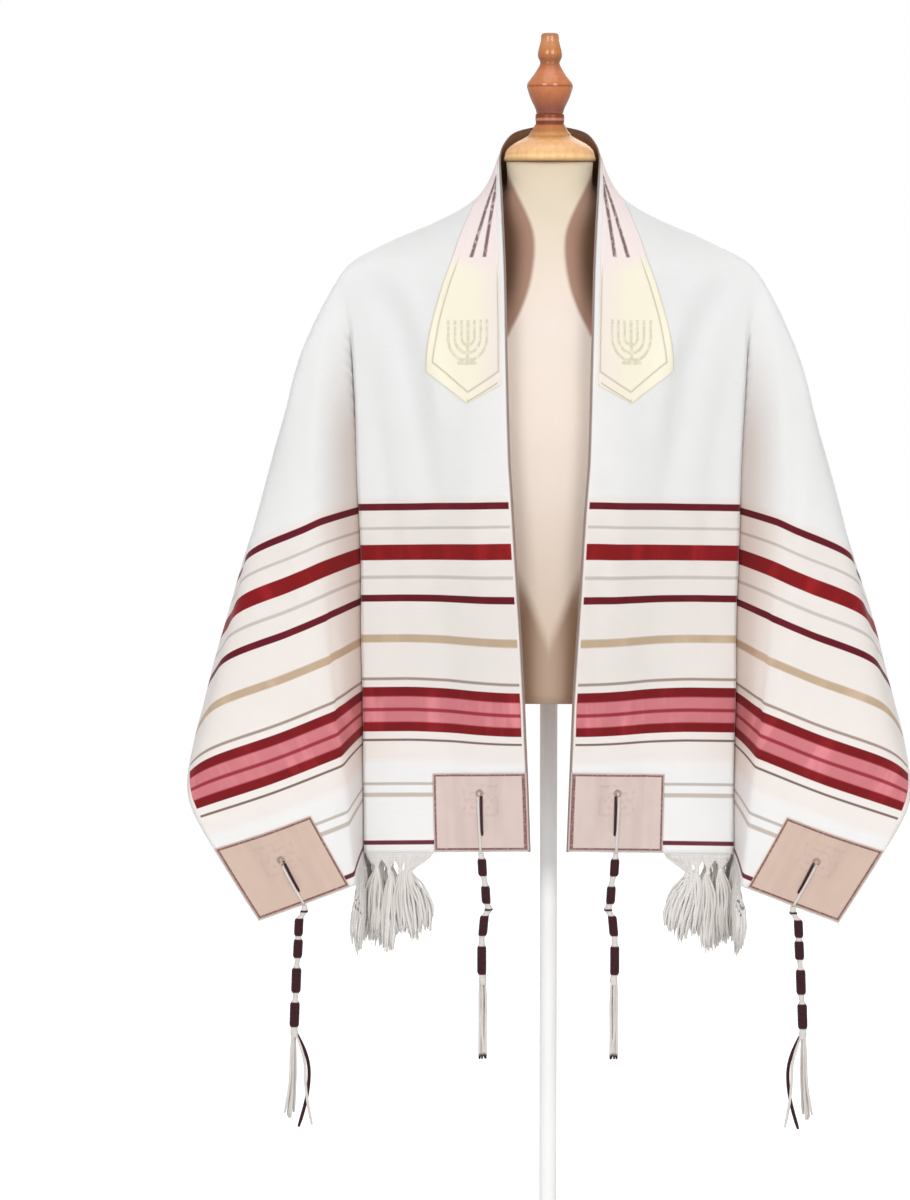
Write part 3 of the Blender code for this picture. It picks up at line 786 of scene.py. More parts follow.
@dataclass(frozen=True)
class BandSatin(Finish):
    """The neckband: a pinkish upper part with two lengthwise stripes, and a cream satin
    panel with a stitched border and a seven-branched lampstand at each end."""

    upper: Colour = srgb(246, 232, 228)
    panel: Colour = srgb(247, 240, 218)
    stripe: Colour = srgb(128, 98, 100)
    stitch: Colour = srgb(188, 180, 154)
    motif: Colour = srgb(212, 203, 176)
    panel_start: float = 0.248
    stripes: Pairs = ((0.0495, 0.357), (0.0302, 0.22))
    stripe_width: float = 0.0052
    middle: float = 0.0522
    border_in: float = 0.0085
    border_tip: float = 0.3989
    second_tip: float = 0.4095
    motif_centre: float = 0.3365
    motif_middle: float = 0.0545
    arms: tuple[float, ...] = (0.0088, 0.0176, 0.0264)
    arm_width: float = 0.0034
    # Half width, top and base of the lampstand's stem, foot, step and row of cups.
    bars: Pairs = (
        (0.00204, -0.015, 0.031), (0.013, 0.027, 0.0305), (0.007, 0.0235, 0.0275), (0.029, -0.019, -0.0135),
    )
    panel_slant: float = 0.25
    tip_slopes: Pair = (0.73, 0.55)
    second_slopes: Pair = (3.0, 0.52)
    border_width: float = 0.0018
    second_width: float = 0.002
    border_inner: float = 0.011
    stitch_pitch: float = 0.0028
    pitch: float = 0.0009
    depth: float = 0.0004

    def make(self) -> Material:
        """Stripes, panel, border and lampstand drawn by the two distances on the cloth.

        Returns:
            The material.
        """
        made, graph, shader = self.begin()
        place, along, across = self.cloth_place(graph)
        along = graph.size(along)
        slant = graph.plus(along, graph.times(across, self.panel_slant))
        in_panel = graph.ramp(slant, self.panel_start + 0.006, self.panel_start + 0.036)
        side_tint = graph.ramp(across, 0.012, 0.052, 0.35, 1.0)
        colour = graph.mix(graph.times(in_panel, side_tint), self.upper, self.panel)
        from_start = graph.minus(along, self.panel_start)
        above_panel = graph.band(along, 0.12, self.panel_start - 0.001, 0.002)
        broken = graph.ramp(graph.noise(place, 150.0, 2.0), 0.32, 0.5, 0.55, 1.0)
        for start, slope in self.stripes:
            offset = graph.minus(across, graph.plus(start, graph.times(slope, from_start)))
            line = graph.band(offset, -self.stripe_width / 2, self.stripe_width / 2, 0.0026)
            colour = graph.mix(graph.times(line, above_panel, broken), colour, self.stripe)
        rim = graph.node("ShaderNodeAttribute", attribute_name=TONE).outputs["Fac"]
        outer = graph.minus(rim, self.border_in)
        past = graph.minus(across, self.middle)
        outward = graph.most(past, 0.0)
        inward = graph.most(graph.times(past, -1.0), 0.0)
        slopes = self.tip_slopes
        fall = graph.plus(graph.times(outward, slopes[0]), graph.times(inward, slopes[1]))
        tip = graph.times(graph.minus(self.border_tip, fall, along), 0.8)
        sides = graph.least(graph.minus(outer, across), graph.minus(across, self.border_inner))
        edge = graph.least(tip, sides)
        border = graph.times(graph.band(edge, 0.0, self.border_width, self.border_width), in_panel)
        slopes = self.second_slopes
        fall = graph.plus(graph.times(outward, slopes[0]), graph.times(inward, slopes[1]))
        second = graph.band(graph.minus(self.second_tip, fall, along), 0.0, self.second_width, 0.0018)
        second = graph.times(second, graph.band(across, 0.013, self.middle + 0.001))
        turns = graph.times(graph.plus(along, across), 2 * math.pi / self.stitch_pitch)
        stitches = graph.plus(0.72, graph.times(0.28, graph.math("SINE", turns)))
        colour = graph.mix(graph.times(border, stitches), colour, self.stitch)
        colour = graph.mix(graph.times(second, 0.8), colour, self.stitch)
        off = graph.size(graph.minus(across, self.motif_middle))
        down = graph.minus(along, self.motif_centre)
        reach = graph.math("SQRT", graph.plus(graph.times(off, off), graph.times(down, down)))
        lower = graph.ramp(down, -0.0015, 0.0005)
        figure: object = 0.0
        for radius in self.arms:
            low, high = radius - self.arm_width / 2, radius + self.arm_width / 2
            ring = graph.times(graph.band(reach, low, high), lower)
            upright = graph.times(graph.band(off, low, high), graph.band(down, -0.0125, 0.0))
            figure = graph.most(figure, ring, upright)
        stem, foot, step, cups = (graph.times(graph.band(off, -1.0, half), graph.band(down, top, base))
                                  for half, top, base in self.bars)
        turns = graph.times(off, 2 * math.pi / self.arms[0])
        beads = graph.ramp(graph.math("COSINE", turns), -0.1, 0.5)
        figure = graph.most(figure, stem, foot, step, graph.times(cups, beads))
        woven = graph.ramp(graph.noise(place, 160.0, 3.0), 0.3, 0.6, 0.25, 0.75)
        figure = graph.times(figure, woven)
        colour = graph.mix(figure, colour, self.motif)
        graph.feed(shader.inputs["Base Color"], colour)
        weave = graph.weave(place, self.pitch)
        raised = graph.most(border, figure)
        height = graph.plus(graph.times(weave, 0.25), raised)
        self.relief(graph, shader, height, self.depth)
        graph.feed(shader.inputs["Roughness"], graph.ramp(in_panel, 0.0, 1.0, 0.7, self.roughness))
        return made


@dataclass(frozen=True)
class PatchSatin(Finish):
    """A corner patch: dusty pink satin with a border line and a faint woven square."""

    ground: Colour = srgb(218, 197, 189)
    line: Colour = srgb(122, 70, 70)
    faint: Colour = srgb(190, 165, 154)
    wide: float = 0.113
    high: float = 0.0885
    inset: float = 0.0014
    line_width: float = 0.0022
    neck_line_width: float = 0.0024
    eyelet_across: float = 0.0565
    eyelet_down: float = 0.023
    figure_drop: float = 0.008
    rings: Pairs = ((0.018, 0.0225), (0.009, 0.012))
    pitch: float = 0.0008
    depth: float = 0.00035

    def make(self) -> Material:
        """Border and square by the distance to the patch's edges and to its eyelet.

        Returns:
            The material.
        """
        made, graph, shader = self.begin()
        place, across, down = self.cloth_place(graph)
        colour = graph.shaded(self.ground, graph.uneven(place, 40.0, 0.16))
        # Painted satin sheen: soft darker streaks that run down the patch.
        painted_sheen = graph.ramp(graph.noise(place, 42.0, 2.0, (1.0, 0.16, 1.0)), 0.4, 0.68, 0.0, 0.34)
        colour = graph.mix(painted_sheen, colour, self.faint)
        from_side = graph.least(across, graph.minus(self.wide, across))
        from_end = graph.least(down, graph.minus(self.high, down))
        edge = graph.least(from_side, from_end)
        aside = graph.size(graph.minus(across, self.eyelet_across))
        below = graph.size(graph.minus(down, self.eyelet_down + self.figure_drop))
        box = graph.most(aside, graph.times(below, 1.25))
        squares = [graph.band(box, low, high, 0.002) for low, high in self.rings]
        cross = graph.most(graph.band(aside, 0.0, 0.0022, 0.002), graph.band(below, 0.0, 0.0022, 0.002))
        figure = graph.most(*squares, graph.times(cross, graph.band(box, 0.0, self.rings[0][0], 0.002)))
        patchy = graph.ramp(graph.noise(place, 160.0, 2.0), 0.35, 0.65)
        figure = graph.times(figure, patchy, 0.42)
        colour = graph.mix(figure, colour, self.faint)
        line = graph.band(edge, self.inset, self.inset + self.line_width)
        line = graph.most(line, graph.band(across, self.inset, self.inset + self.neck_line_width))
        inner_box = graph.times(graph.band(edge, self.inset, 1.0), line)
        worn = graph.ramp(graph.noise(place, 300.0, 2.0), 0.2, 0.6, 0.55, 0.95)
        colour = graph.mix(graph.times(inner_box, worn), colour, self.line)
        graph.feed(shader.inputs["Base Color"], colour)
        weave = graph.weave(place, self.pitch)
        height = graph.plus(graph.times(weave, 0.3), graph.most(inner_box, figure))
        self.relief(graph, shader, height, self.depth)
        return made


@dataclass(frozen=True)
class ThreadFinish(Finish):
    """Spun thread: two colours chosen by the thread's tone, with fine twist lines."""

    pale: Colour = srgb(232, 228, 223)
    dark: Colour = srgb(66, 22, 32)
    twist: float = 0.0022
    depth: float = 0.00025
    amount: float = 0.14

    def make(self) -> Material:
        """Twist lines slant round the thread: sin of the length and the turn together.

        Returns:
            The material.
        """
        made, graph, shader = self.begin()
        place, length, turn = self.cloth_place(graph)
        tone = graph.node("ShaderNodeAttribute", attribute_name=TONE)
        slant = graph.plus(length, graph.times(turn, 0.8))
        lines = graph.math("SINE", graph.times(slant, 2 * math.pi / self.twist))
        shade = graph.plus(graph.uneven(place, 90.0, self.amount), graph.times(lines, 0.035))
        colour = graph.mix(tone.outputs["Fac"], self.pale, self.dark)
        graph.feed(shader.inputs["Base Color"], graph.shaded(colour, shade))
        self.relief(graph, shader, graph.plus(0.5, graph.times(lines, 0.5)), self.depth, 0.8)
        return made


@dataclass(frozen=True)
class CoverCloth(Finish):
    """The form's knitted cover: cream, with painted shade beside the neck and at the foot, where the shawl
    shades it.
    """

    tones: tuple[tuple[float, Colour], ...] = (
        (0.75, srgb(222, 200, 180)), (0.86, srgb(226, 206, 188)), (1.0, srgb(240, 225, 212)),
        (1.2, srgb(247, 233, 222)), (1.3, srgb(240, 225, 204)), (1.38, srgb(236, 220, 192)),
    )
    # Painted shade beside the neck, where the collar shades the form: this colour near the bare middle, the
    # deeper one further out.
    brown: Colour = srgb(172, 136, 118)
    deep_brown: Colour = srgb(104, 76, 56)
    # Painted shadow of the shawl's fronts at the foot, beside the lit wedge.
    foot_shade: Colour = srgb(150, 116, 92)
    lens: Pairs = (
        (0.7, 0.2), (1.17, 0.2), (1.178, 0.047), (1.188, 0.0415), (1.214, 0.0288), (1.239, 0.0207),
        (1.264, 0.0166), (1.28, 0.0158), (1.2925, 0.0168), (1.304, 0.0198), (1.3215, 0.0272),
        (1.34, 0.0365), (1.3545, 0.0435), (1.3665, 0.0495), (1.38, 0.06),
    )
    widest: float = 0.25
    lit_from: float = 0.8325
    lit_slope: float = 0.42
    around: float = 0.13
    pitch: float = 0.001
    depth: float = 0.00018

    def make(self) -> Material:
        """The lens is the bare middle's half width by height, and the painted shade of the collar lies
        outside it. At the foot a wedge stays lit, and painted shadow of the shawl's fronts lies beside it.

        Returns:
            The material.
        """
        made, graph, shader = self.begin()
        place = graph.node("ShaderNodeTexCoord").outputs["Object"]
        right, back, height = graph.split(place)
        aside = graph.size(right)
        curve = graph.node("ShaderNodeFloatCurve")
        low, high = self.lens[0][0], self.lens[-1][0]
        points = curve.mapping.curves[0].points
        for k, (at, half) in enumerate(self.lens):
            spot = ((at - low) / (high - low), half / self.widest)
            if k == 0:
                points[0].location = spot
            elif k == len(self.lens) - 1:
                points[-1].location = spot
            else:
                points.new(*spot)
        for point in points:
            point.handle_type = "AUTO"
        curve.mapping.update()
        graph.feed(curve.inputs["Value"], graph.math("DIVIDE", graph.minus(height, low), high - low))
        half = graph.times(curve.outputs[0], self.widest)
        # Painted shade beside the neck: outside the lens, on the front, deeper further out.
        outside = graph.ramp(graph.minus(aside, half), -0.002, 0.004)
        front = graph.ramp(back, -0.01, 0.0, 1.0, 0.0)
        neck_shade = graph.times(outside, front)
        depth = graph.ramp(graph.minus(aside, half), 0.004, 0.03)
        brown = graph.mix(depth, self.brown, self.deep_brown)
        # Painted shadow at the foot: only a wedge in the middle stays lit.
        rise = graph.minus(height, self.lit_from)
        lit = graph.times(rise, self.lit_slope)
        beyond = graph.ramp(graph.minus(aside, lit), -0.008, 0.008)
        fade = graph.ramp(rise, 0.03, 0.14, 1.0, 0.0)
        sides = graph.ramp(aside, 0.0, 0.03, 0.55, 0.95)
        foot_shade = graph.times(beyond, fade, front, sides)
        colour = graph.colours(height, self.tones)
        colour = graph.mix(foot_shade, colour, self.foot_shade)
        colour = graph.mix(neck_shade, colour, brown)
        colour = graph.shaded(colour, graph.uneven(place, 20.0, 0.06))
        graph.feed(shader.inputs["Base Color"], colour)
        around = graph.times(graph.math("ARCTAN2", back, right), self.around)
        knit = graph.node("ShaderNodeCombineXYZ")
        graph.feed(knit.inputs[0], around)
        graph.feed(knit.inputs[1], height)
        self.relief(graph, shader, graph.weave(knit.outputs[0], self.pitch), self.depth, 0.8)
        return made


@dataclass(frozen=True)
class TurnedWood(Finish):
    """Varnished turned wood: the turning shows as rings of lighter and darker colour, partly stain and partly
    painted highlights and shade.
    """

    rings: tuple[tuple[float, Colour], ...] = ((0.0, srgb(232, 158, 96)), (1.0, srgb(166, 92, 42)))
    grain: float = 46.0
    depth: float = 0.1

    def make(self) -> Material:
        """Colour by height, partly stain and partly painted highlight and shade, over a fine grain of noise
        drawn out along the height.

        Returns:
            The material.
        """
        made, graph, shader = self.begin()
        place = graph.node("ShaderNodeTexCoord").outputs["Object"]
        height = graph.split(place)[2]
        fine = graph.noise(place, self.grain, 4.0, (4.0, 4.0, 0.5))
        lines = graph.noise(place, self.grain, 3.0, (0.3, 0.3, 9.0))
        both = graph.plus(graph.times(fine, 0.7), graph.times(lines, 0.3))
        shade = graph.ramp(both, 0.3, 0.7, 1.0 + self.depth, 1.0 - self.depth)
        colour = graph.shaded(graph.colours(height, self.rings), shade)
        graph.feed(shader.inputs["Base Color"], colour)
        self.relief(graph, shader, fine, 0.00006, 0.4)
        return made


@dataclass(frozen=True)
class PaintedMetal(Finish):
    """Painted steel with a faint orange peel."""

    colour: Colour = srgb(250, 250, 249)

    def make(self) -> Material:
        """Even colour with a slight mottle and fine relief.

        Returns:
            The material.
        """
        made, graph, shader = self.begin()
        place = graph.node("ShaderNodeTexCoord").outputs["Object"]
        colour = graph.shaded(self.colour, graph.uneven(place, 14.0, 0.05))
        graph.feed(shader.inputs["Base Color"], colour)
        self.relief(graph, shader, graph.noise(place, 420.0, 2.0), 0.00006, 0.4)
        return made


@dataclass(frozen=True)
class Crease:
    """One soft trough or ridge, drawn on the flat cloth of one side.

    line holds its points, along and across. depth is outward where positive.
    """

    line: Pairs
    width: float
    depth: float
    sides: tuple[float, ...] = (-1.0, 1.0)

    def height(self, along: Array, across: Array) -> Array:
        """depth exp(-(distance to the line / width)^2), fading to nothing at both ends.

        Args:
            along: Signed distances along the cloth.
            across: Distances across the cloth.

        Returns:
            The height at each place.
        """
        place = np.stack((np.abs(along), across), axis=-1)
        line = np.array(self.line)
        starts, steps = line[:-1], np.diff(line, axis=0)
        lengths = np.linalg.norm(steps, axis=1)
        offset = place[..., None, :] - starts
        share = np.clip((offset * steps).sum(-1) / lengths**2, 0.0, 1.0)
        distance = np.linalg.norm(offset - share[..., None] * steps, axis=-1)
        nearest = distance.argmin(-1)
        reach = (np.concatenate(((0.0,), np.cumsum(lengths)[:-1])) + share * lengths) / lengths.sum()
        spot = np.take_along_axis(reach, nearest[..., None], -1)[..., 0]
        fade = np.sin(np.pi * np.clip(spot, 0.02, 0.98)) ** 0.5
        shape = self.depth * np.exp(-((distance.min(-1) / self.width) ** 2)) * fade
        return shape * np.isin(np.sign(along), self.sides)


@dataclass
class Drape:
    """The shawl's hanging form: the solid's drape, then its finer creases."""

    half_length: float = 0.915
    width: float = 0.6
    apex_along: float = 0.262
    apex_across: float = 0.2
    apex: tuple[float, float, float] = (0.2355, -0.02, 1.266)
    neck_edge: Pairs = (
        (0.0, 0.0, 0.062, 1.419), (0.05, 0.043, 0.043, 1.41), (0.095, 0.057, 0.002, 1.388),
        (0.16, 0.0535, -0.045, 1.343), (0.21, 0.051, -0.074, 1.302), (0.262, 0.0487, -0.098, 1.2555),
        (0.36, 0.0465, -0.118, 1.158), (0.48, 0.043, -0.122, 1.037), (0.6, 0.035, -0.118, 0.917),
        (0.75, 0.0262, -0.114, 0.768), (0.915, 0.02, -0.11, 0.603),
    )
    shoulder_line: Pairs = (
        (0.0, 0.0, 0.107, 1.224), (0.1, 0.095, 0.092, 1.258), (0.18, 0.168, 0.048, 1.292),
        (0.262, 0.2355, -0.02, 1.266),
    )
    shoulder_fall: Pairs = (
        (0.0, 0.3, 0.3, 0.089), (0.095, 0.55, 0.35, -0.005), (0.15, 0.75, 0.45, -0.02),
        (0.2, 0.55, 0.55, -0.006), (0.262, 0.38, 0.6, 0.01), (0.34, 0.42, 0.55, 0.006),
        (0.42, 0.5, 0.5, 0.0),
    )
    back_hem: Pair = (0.14, 0.83)
    folds: Pairs = (
        (0.0, -0.0343, -0.06, 1.0, 0.021, -0.01), (7.5, -0.095, -0.005, 1.0, 0.021, -0.0095),
        (10.7, -0.046, 0.036, 1.0, 0.021, -0.006), (17.0, -0.0366, -0.0455, 0.955, 0.024, -0.0119),
        (23.2, -0.033, -0.12, 0.96, 0.026, 0.0325), (31.5, 0.122, -0.097, 0.952, 0.026, 0.022),
        (38.5, 0.28, -0.06, 0.952, 0.026, 0.02), (47.0, 0.304, 0.08, 0.96, 0.02, 0.014),
        (56.0, 0.28, 0.23, 0.97, 0.014, 0.01), (66.0, 0.15, 0.34, 0.98, 0.006, 0.0),
        (78.0, -0.03, 0.29, 0.99, 0.0, 0.0), (90.0, 0.03, 0.1, 1.0, 0.0, 0.0),
    )
    lift_radius: float = 0.1
    bow_radius: float = 0.77
    bow_power: float = 0.6
    wave: float = 0.0009
    step: float = 0.005
    crisp: float = 0.5
    soft: float = 2.4
    soft_fade: float = 0.12
    round: float = 4.4
    round_from: Pair = (26.0, 34.0)
    round_reach: Pair = (0.1, 0.24)
    creases: tuple[Crease, ...] = (
        # Front panel: the broad trough below the shoulder, its lit ridge, and fainter ones.
        Crease(((0.262, 0.186), (0.318, 0.149), (0.385, 0.127), (0.453, 0.113), (0.54, 0.098)), 0.016,
               -0.0042),
        Crease(((0.262, 0.15), (0.307, 0.121), (0.372, 0.098), (0.455, 0.082)), 0.014, 0.0034),
        Crease(((0.35, 0.185), (0.43, 0.17), (0.54, 0.158), (0.64, 0.15)), 0.012, -0.0022),
        Crease(((0.42, 0.05), (0.52, 0.052), (0.66, 0.04)), 0.016, 0.0022),
        Crease(((0.56, 0.11), (0.66, 0.096), (0.78, 0.09), (0.89, 0.092)), 0.02, -0.003),
        Crease(((0.52, 0.02), (0.64, 0.026), (0.76, 0.02)), 0.012, -0.0016, (1.0,)),
        # Shoulder and fan of folds at the side.
        Crease(((0.3, 0.3), (0.42, 0.38), (0.56, 0.47), (0.68, 0.56)), 0.018, -0.004),
        Crease(((0.34, 0.26), (0.5, 0.33), (0.68, 0.41), (0.84, 0.47)), 0.016, 0.003),
        Crease(((0.3, 0.35), (0.39, 0.46), (0.48, 0.57)), 0.018, -0.0045, (-1.0,)),
        Crease(((0.29, 0.35), (0.36, 0.46), (0.44, 0.58)), 0.02, -0.005, (1.0,)),
        Crease(((0.42, 0.29), (0.58, 0.36), (0.74, 0.44)), 0.01, -0.0024),
        Crease(((0.585, 0.334), (0.66, 0.366), (0.76, 0.408)), 0.006, -0.0036),
        # Back: long soft pipes from the shoulders and a shallow dip in the middle.
        Crease(((0.19, 0.24), (0.2, 0.38), (0.215, 0.56)), 0.018, 0.0078, (-1.0,)),
        Crease(((0.175, 0.25), (0.19, 0.4), (0.195, 0.59)), 0.02, 0.0072, (1.0,)),
        Crease(((0.12, 0.26), (0.115, 0.42), (0.125, 0.59)), 0.016, -0.005, (-1.0,)),
        Crease(((0.11, 0.24), (0.12, 0.4), (0.11, 0.58)), 0.016, -0.0048, (1.0,)),
        Crease(((0.05, 0.3), (0.045, 0.45), (0.06, 0.595)), 0.018, 0.0058),
        Crease(((0.01, 0.11), (0.06, 0.15), (0.12, 0.17)), 0.014, 0.0024),
        Crease(((0.0, 0.33), (0.004, 0.45), (0.0, 0.58)), 0.014, 0.002),
    )
    points: Array = field(init=False)
    normals: Array = field(init=False)
    along: Array = field(init=False)
    across: Array = field(init=False)

    def __post_init__(self) -> None:
        """Works out the drape on its even grid."""
        rows = 2 * round(self.half_length / self.step) + 1
        cols = round(self.width / self.step) + 1
        along = np.linspace(-self.half_length, self.half_length, rows)
        across = np.linspace(0.0, self.width, cols)
        self.along, self.across = np.meshgrid(along, across, indexing="ij")
        smooth = self.smoothed(self.folded(np.abs(self.along), self.across))
        normals = self.face_normals(smooth)
        height = sum(crease.height(self.along, self.across) for crease in self.creases)
        waves = self.waves()
        self.points = smooth + (height + waves)[..., None] * normals
        self.normals = self.face_normals(self.points)

    @staticmethod
    def face_normals(points: Array) -> Array:
        """Outward unit normals of a grid: the cross product of its two directions."""
        return unit(np.cross(np.gradient(points, axis=0), np.gradient(points, axis=1)))

    def waves(self) -> Array:
        """Slight uneven waving of the whole cloth: a few crossed sines under 1 mm, which
        die out over the shoulders, where the cloth lies on the form.

        Returns:
            The height at each place.
        """
        u, v = self.along, self.across
        free = smoothstep(0.2, 0.45, np.hypot(u, 1.3 * v))
        total = 0.45 * np.sin(31.0 * u + 17.0 * v + 0.6) + 0.35 * np.sin(23.0 * v - 41.0 * u + 1.9)
        total += 0.3 * np.sin(67.0 * v + 9.0 * u) * np.sin(14.0 * u + 0.4)
        return self.wave * total * free

    def fold_point(self, angle: Array, radius: Array) -> Array:
        """Point of the fan of folds: the shoulder point plus reach times the fold's unit
        direction, and a bow of sin(pi (r / R)^p) outward.

        Args:
            angle: Angle on the cloth, in degrees from the front crease.
            radius: Distance from the shoulder point.

        Returns:
            The point.
        """
        fold = columns(self.folds, angle)
        slope = unit(np.concatenate((fold[..., :2], -np.ones_like(fold[..., :1])), axis=-1))
        reach = radius * fold[..., 2] + fold[..., 3] * (1.0 - np.exp(-radius / self.lift_radius))
        bow = np.sin(np.pi * np.clip(radius / self.bow_radius, 0.0, 1.0) ** self.bow_power)
        point = np.array(self.apex) + reach[..., None] * slope
        point[..., 0] += fold[..., 4] * bow
        return point

    def folded(self, along: Array, across: Array) -> Array:
        """The right half with sharp folds: a curved front, the yoke, the back and the fan.

        Args:
            along: Distances along, not signed.
            across: Distances across.

        Returns:
            The points.
        """
        inward = np.clip(across / self.apex_across, 0.0, 1.0)[..., None]
        sideways = np.clip(along / self.apex_along, 0.0, 1.0)[..., None]
        past_along = np.maximum(along - self.apex_along, 0.0)
        past_across = np.maximum(across - self.apex_across, 0.0)
        edge = columns(self.neck_edge, along)
        crease = self.fold_point(np.zeros_like(along), past_along)
        seam = np.where((along < self.apex_along)[..., None], columns(self.shoulder_line, along), crease)
        fall = columns(self.shoulder_fall, along)
        middle = edge + (seam - edge) * fall[..., (0, 1, 0)]
        middle[..., 2] -= fall[..., 2]
        front = (1 - inward) ** 2 * edge + 2 * inward * (1 - inward) * middle + inward**2 * seam
        top = np.array(self.shoulder_line[0][1:])
        centre_fall = (np.array((0.0, *self.back_hem)) - top) / (self.width - self.apex_across)
        side_fall = self.fold_point(np.full_like(along, 90.0), past_across) - np.array(self.apex)
        back = seam + past_across[..., None] * centre_fall * (1 - sideways) + side_fall * sideways
        angle = np.degrees(np.arctan2(past_across, past_along))
        side = self.fold_point(angle, np.hypot(past_along, past_across))
        in_front = (along >= self.apex_along)[..., None]
        outside = (across >= self.apex_across)[..., None]
        return np.where(in_front & outside, side, np.where(outside, back, front))

    def smoothed(self, grid: Array) -> Array:
        """Softens the folds: more at the shoulder than below it, and most of all round the
        outer ridge of the fan.

        Args:
            grid: The right half's points, on the whole cloth's grid.

        Returns:
            The whole cloth's points.
        """
        grid[..., 0] *= np.sign(self.along)
        crisp = self.soften(self.soften(grid, self.crisp, 0), self.crisp, 1)
        soft = self.soften(self.soften(grid, self.soft, 0), self.soft, 1)
        share = np.clip(1.0 - (np.abs(self.along) - self.apex_along) / self.soft_fade, 0.0, 1.0)
        share = smoothstep(0.0, 1.0, share)[..., None]
        folds = crisp * (1.0 - share) + soft * share
        round_ones = self.soften(self.soften(grid, self.round, 0), self.round, 1)
        past_along = np.maximum(np.abs(self.along) - self.apex_along, 0.0)
        past_across = np.maximum(self.across - self.apex_across, 0.0)
        angle = np.degrees(np.arctan2(past_across, past_along))
        share = smoothstep(*self.round_from, angle)
        share = share * smoothstep(*self.round_reach, np.hypot(past_along, past_across)) * (past_along > 0)
        share = (share * smoothstep(0.0, 0.05, past_along))[..., None]
        return folds * (1.0 - share) + round_ones * share

    @staticmethod
    def soften(grid: Array, spread: float, axis: int) -> Array:
        """Gaussian smoothing along one axis, which holds the cloth's edges in place.

        Args:
            grid: The points.
            spread: Spread in grid steps.
            axis: Axis of the grid.

        Returns:
            The smoothed points.
        """
        reach = int(3 * spread) + 1
        lines = np.moveaxis(grid, axis, 0)
        before = 2 * lines[:1] - lines[reach:0:-1]
        after = 2 * lines[-1:] - lines[-2: -reach - 2: -1]
        padded = np.concatenate((before, lines, after))
        weights = np.exp(-0.5 * (np.arange(-reach, reach + 1) / spread) ** 2)
        weights /= weights.sum()
        total = sum(weight * padded[i: i + len(lines)] for i, weight in enumerate(weights))
        return np.moveaxis(total, 0, axis)

    def read(self, grid: Array, along: Array, across: Array) -> Array:
        """Value of a grid between its points, by straight lines both ways.

        Args:
            grid: Points or normals on the even grid.
            along: Signed distances along.
            across: Distances across.

        Returns:
            The values.
        """
        i = (np.asarray(along, float) + self.half_length) / self.step
        j = np.asarray(across, float) / self.step
        i0 = np.clip(np.floor(i + 1e-9).astype(int), 0, grid.shape[0] - 2)
        j0 = np.clip(np.floor(j + 1e-9).astype(int), 0, grid.shape[1] - 2)
        i = (i - i0)[..., None]
        j = (j - j0)[..., None]
        low = grid[i0, j0] * (1 - j) + grid[i0, j0 + 1] * j
        high = grid[i0 + 1, j0] * (1 - j) + grid[i0 + 1, j0 + 1] * j
        return low * (1 - i) + high * i

    def over(self, along: Array, across: Array, lift: Array | float) -> Array:
        """Point at a height over the cloth's middle surface, on its outer side.

        Args:
            along: Signed distances along.
            across: Distances across.
            lift: Heights.

        Returns:
            The points.
        """
        normal = unit(self.read(self.normals, along, across))
        return self.read(self.points, along, across) + np.asarray(lift)[..., None] * normal


@dataclass
class Shawl:
    """The cloth itself, a thin shell with its woven stripes."""

    drape: Drape
    thickness: float = 0.0012
    sag: float = 0.009

    def build(self) -> Piece:
        """Makes the shell over the whole grid, its inner side with its own finish.

        Returns:
            The piece.
        """
        shape = Shape()
        shape.grid(self.drape.points, self.woven_places())
        outer = WovenCloth("striped cloth", roughness=0.72, sheen=0.25, specular=0.25, glow=0.35).make()
        inner = WovenCloth("striped cloth inside", roughness=0.75, specular=0.2, inside=True).make()
        made = thicken(shape.make("shawl_cloth", [outer, inner]), self.thickness, 1)
        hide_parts("shawl")
        return made

    def woven_places(self) -> Array:
        """Places on the cloth as woven: the stripes were beaten in aslant, so that near the
        neck edge they lie lower, most of all half way up the striped part.

        Returns:
            The place of each point.
        """
        above = self.drape.half_length - np.abs(self.drape.along)
        rise = smoothstep(0.03, 0.16, above) * (1.0 - smoothstep(0.2, 0.37, above))
        sag = self.sag * (1.0 - smoothstep(0.0, 0.15, self.drape.across)) * rise
        return np.stack((self.drape.along - np.sign(self.drape.along) * sag, self.drape.across), axis=-1)


@dataclass
class Neckband:
    """The band sewn along the neck edge: slim round the neck, and wide down to its pointed
    ends."""

    drape: Drape
    thickness: float = 0.0009
    lift: float = 0.0012
    neck_edge: float = 0.01
    outer_edge: Pairs = (
        (0.0, 0.042), (0.15, 0.044), (0.176, 0.051), (0.217, 0.067), (0.251, 0.077),
        (0.284, 0.0905), (0.318, 0.102), (0.346, 0.107), (0.372, 0.108), (0.42, 0.108),
    )
    body: float = 0.35
    half_length: float = 0.4
    point: Pairs = ((0.0, 0.391), (0.22, 0.401), (0.44, 0.411), (0.7, 0.3935), (1.0, 0.373))
    flat: Pair = (0.064, 0.822)

    def build(self) -> Piece:
        """Rows lie at even distances along, and the last ones close in on the point. Each
        point's tone is where the outer edge lies, for the stitched border.

        Returns:
            The piece.
        """
        share = np.linspace(0.0, 1.0, 34)
        tip = columns(self.point, share)[:, 0]
        along = np.linspace(-1.0, 1.0, 341)[:, None] * self.half_length
        reach = np.abs(along)
        last = np.clip((reach - self.body) / (self.half_length - self.body), 0.0, 1.0)
        along = np.sign(along) * np.where(reach < self.body, reach, self.body + last * (tip - self.body))
        width = smooth_columns(self.outer_edge, np.abs(along))[..., 0] - self.neck_edge
        across = self.neck_edge + width * share
        places = np.stack((along, across), axis=-1)
        shape = Shape()
        shape.grid(self.drape.over(along, across, self.lift), places, self.neck_edge + width)
        finish = BandSatin("neckband satin", roughness=0.42, sheen=0.2, specular=0.4).make()
        made = thicken(shape.make("neckband_satin", [finish]), self.thickness)
        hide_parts("neckband")
        return made


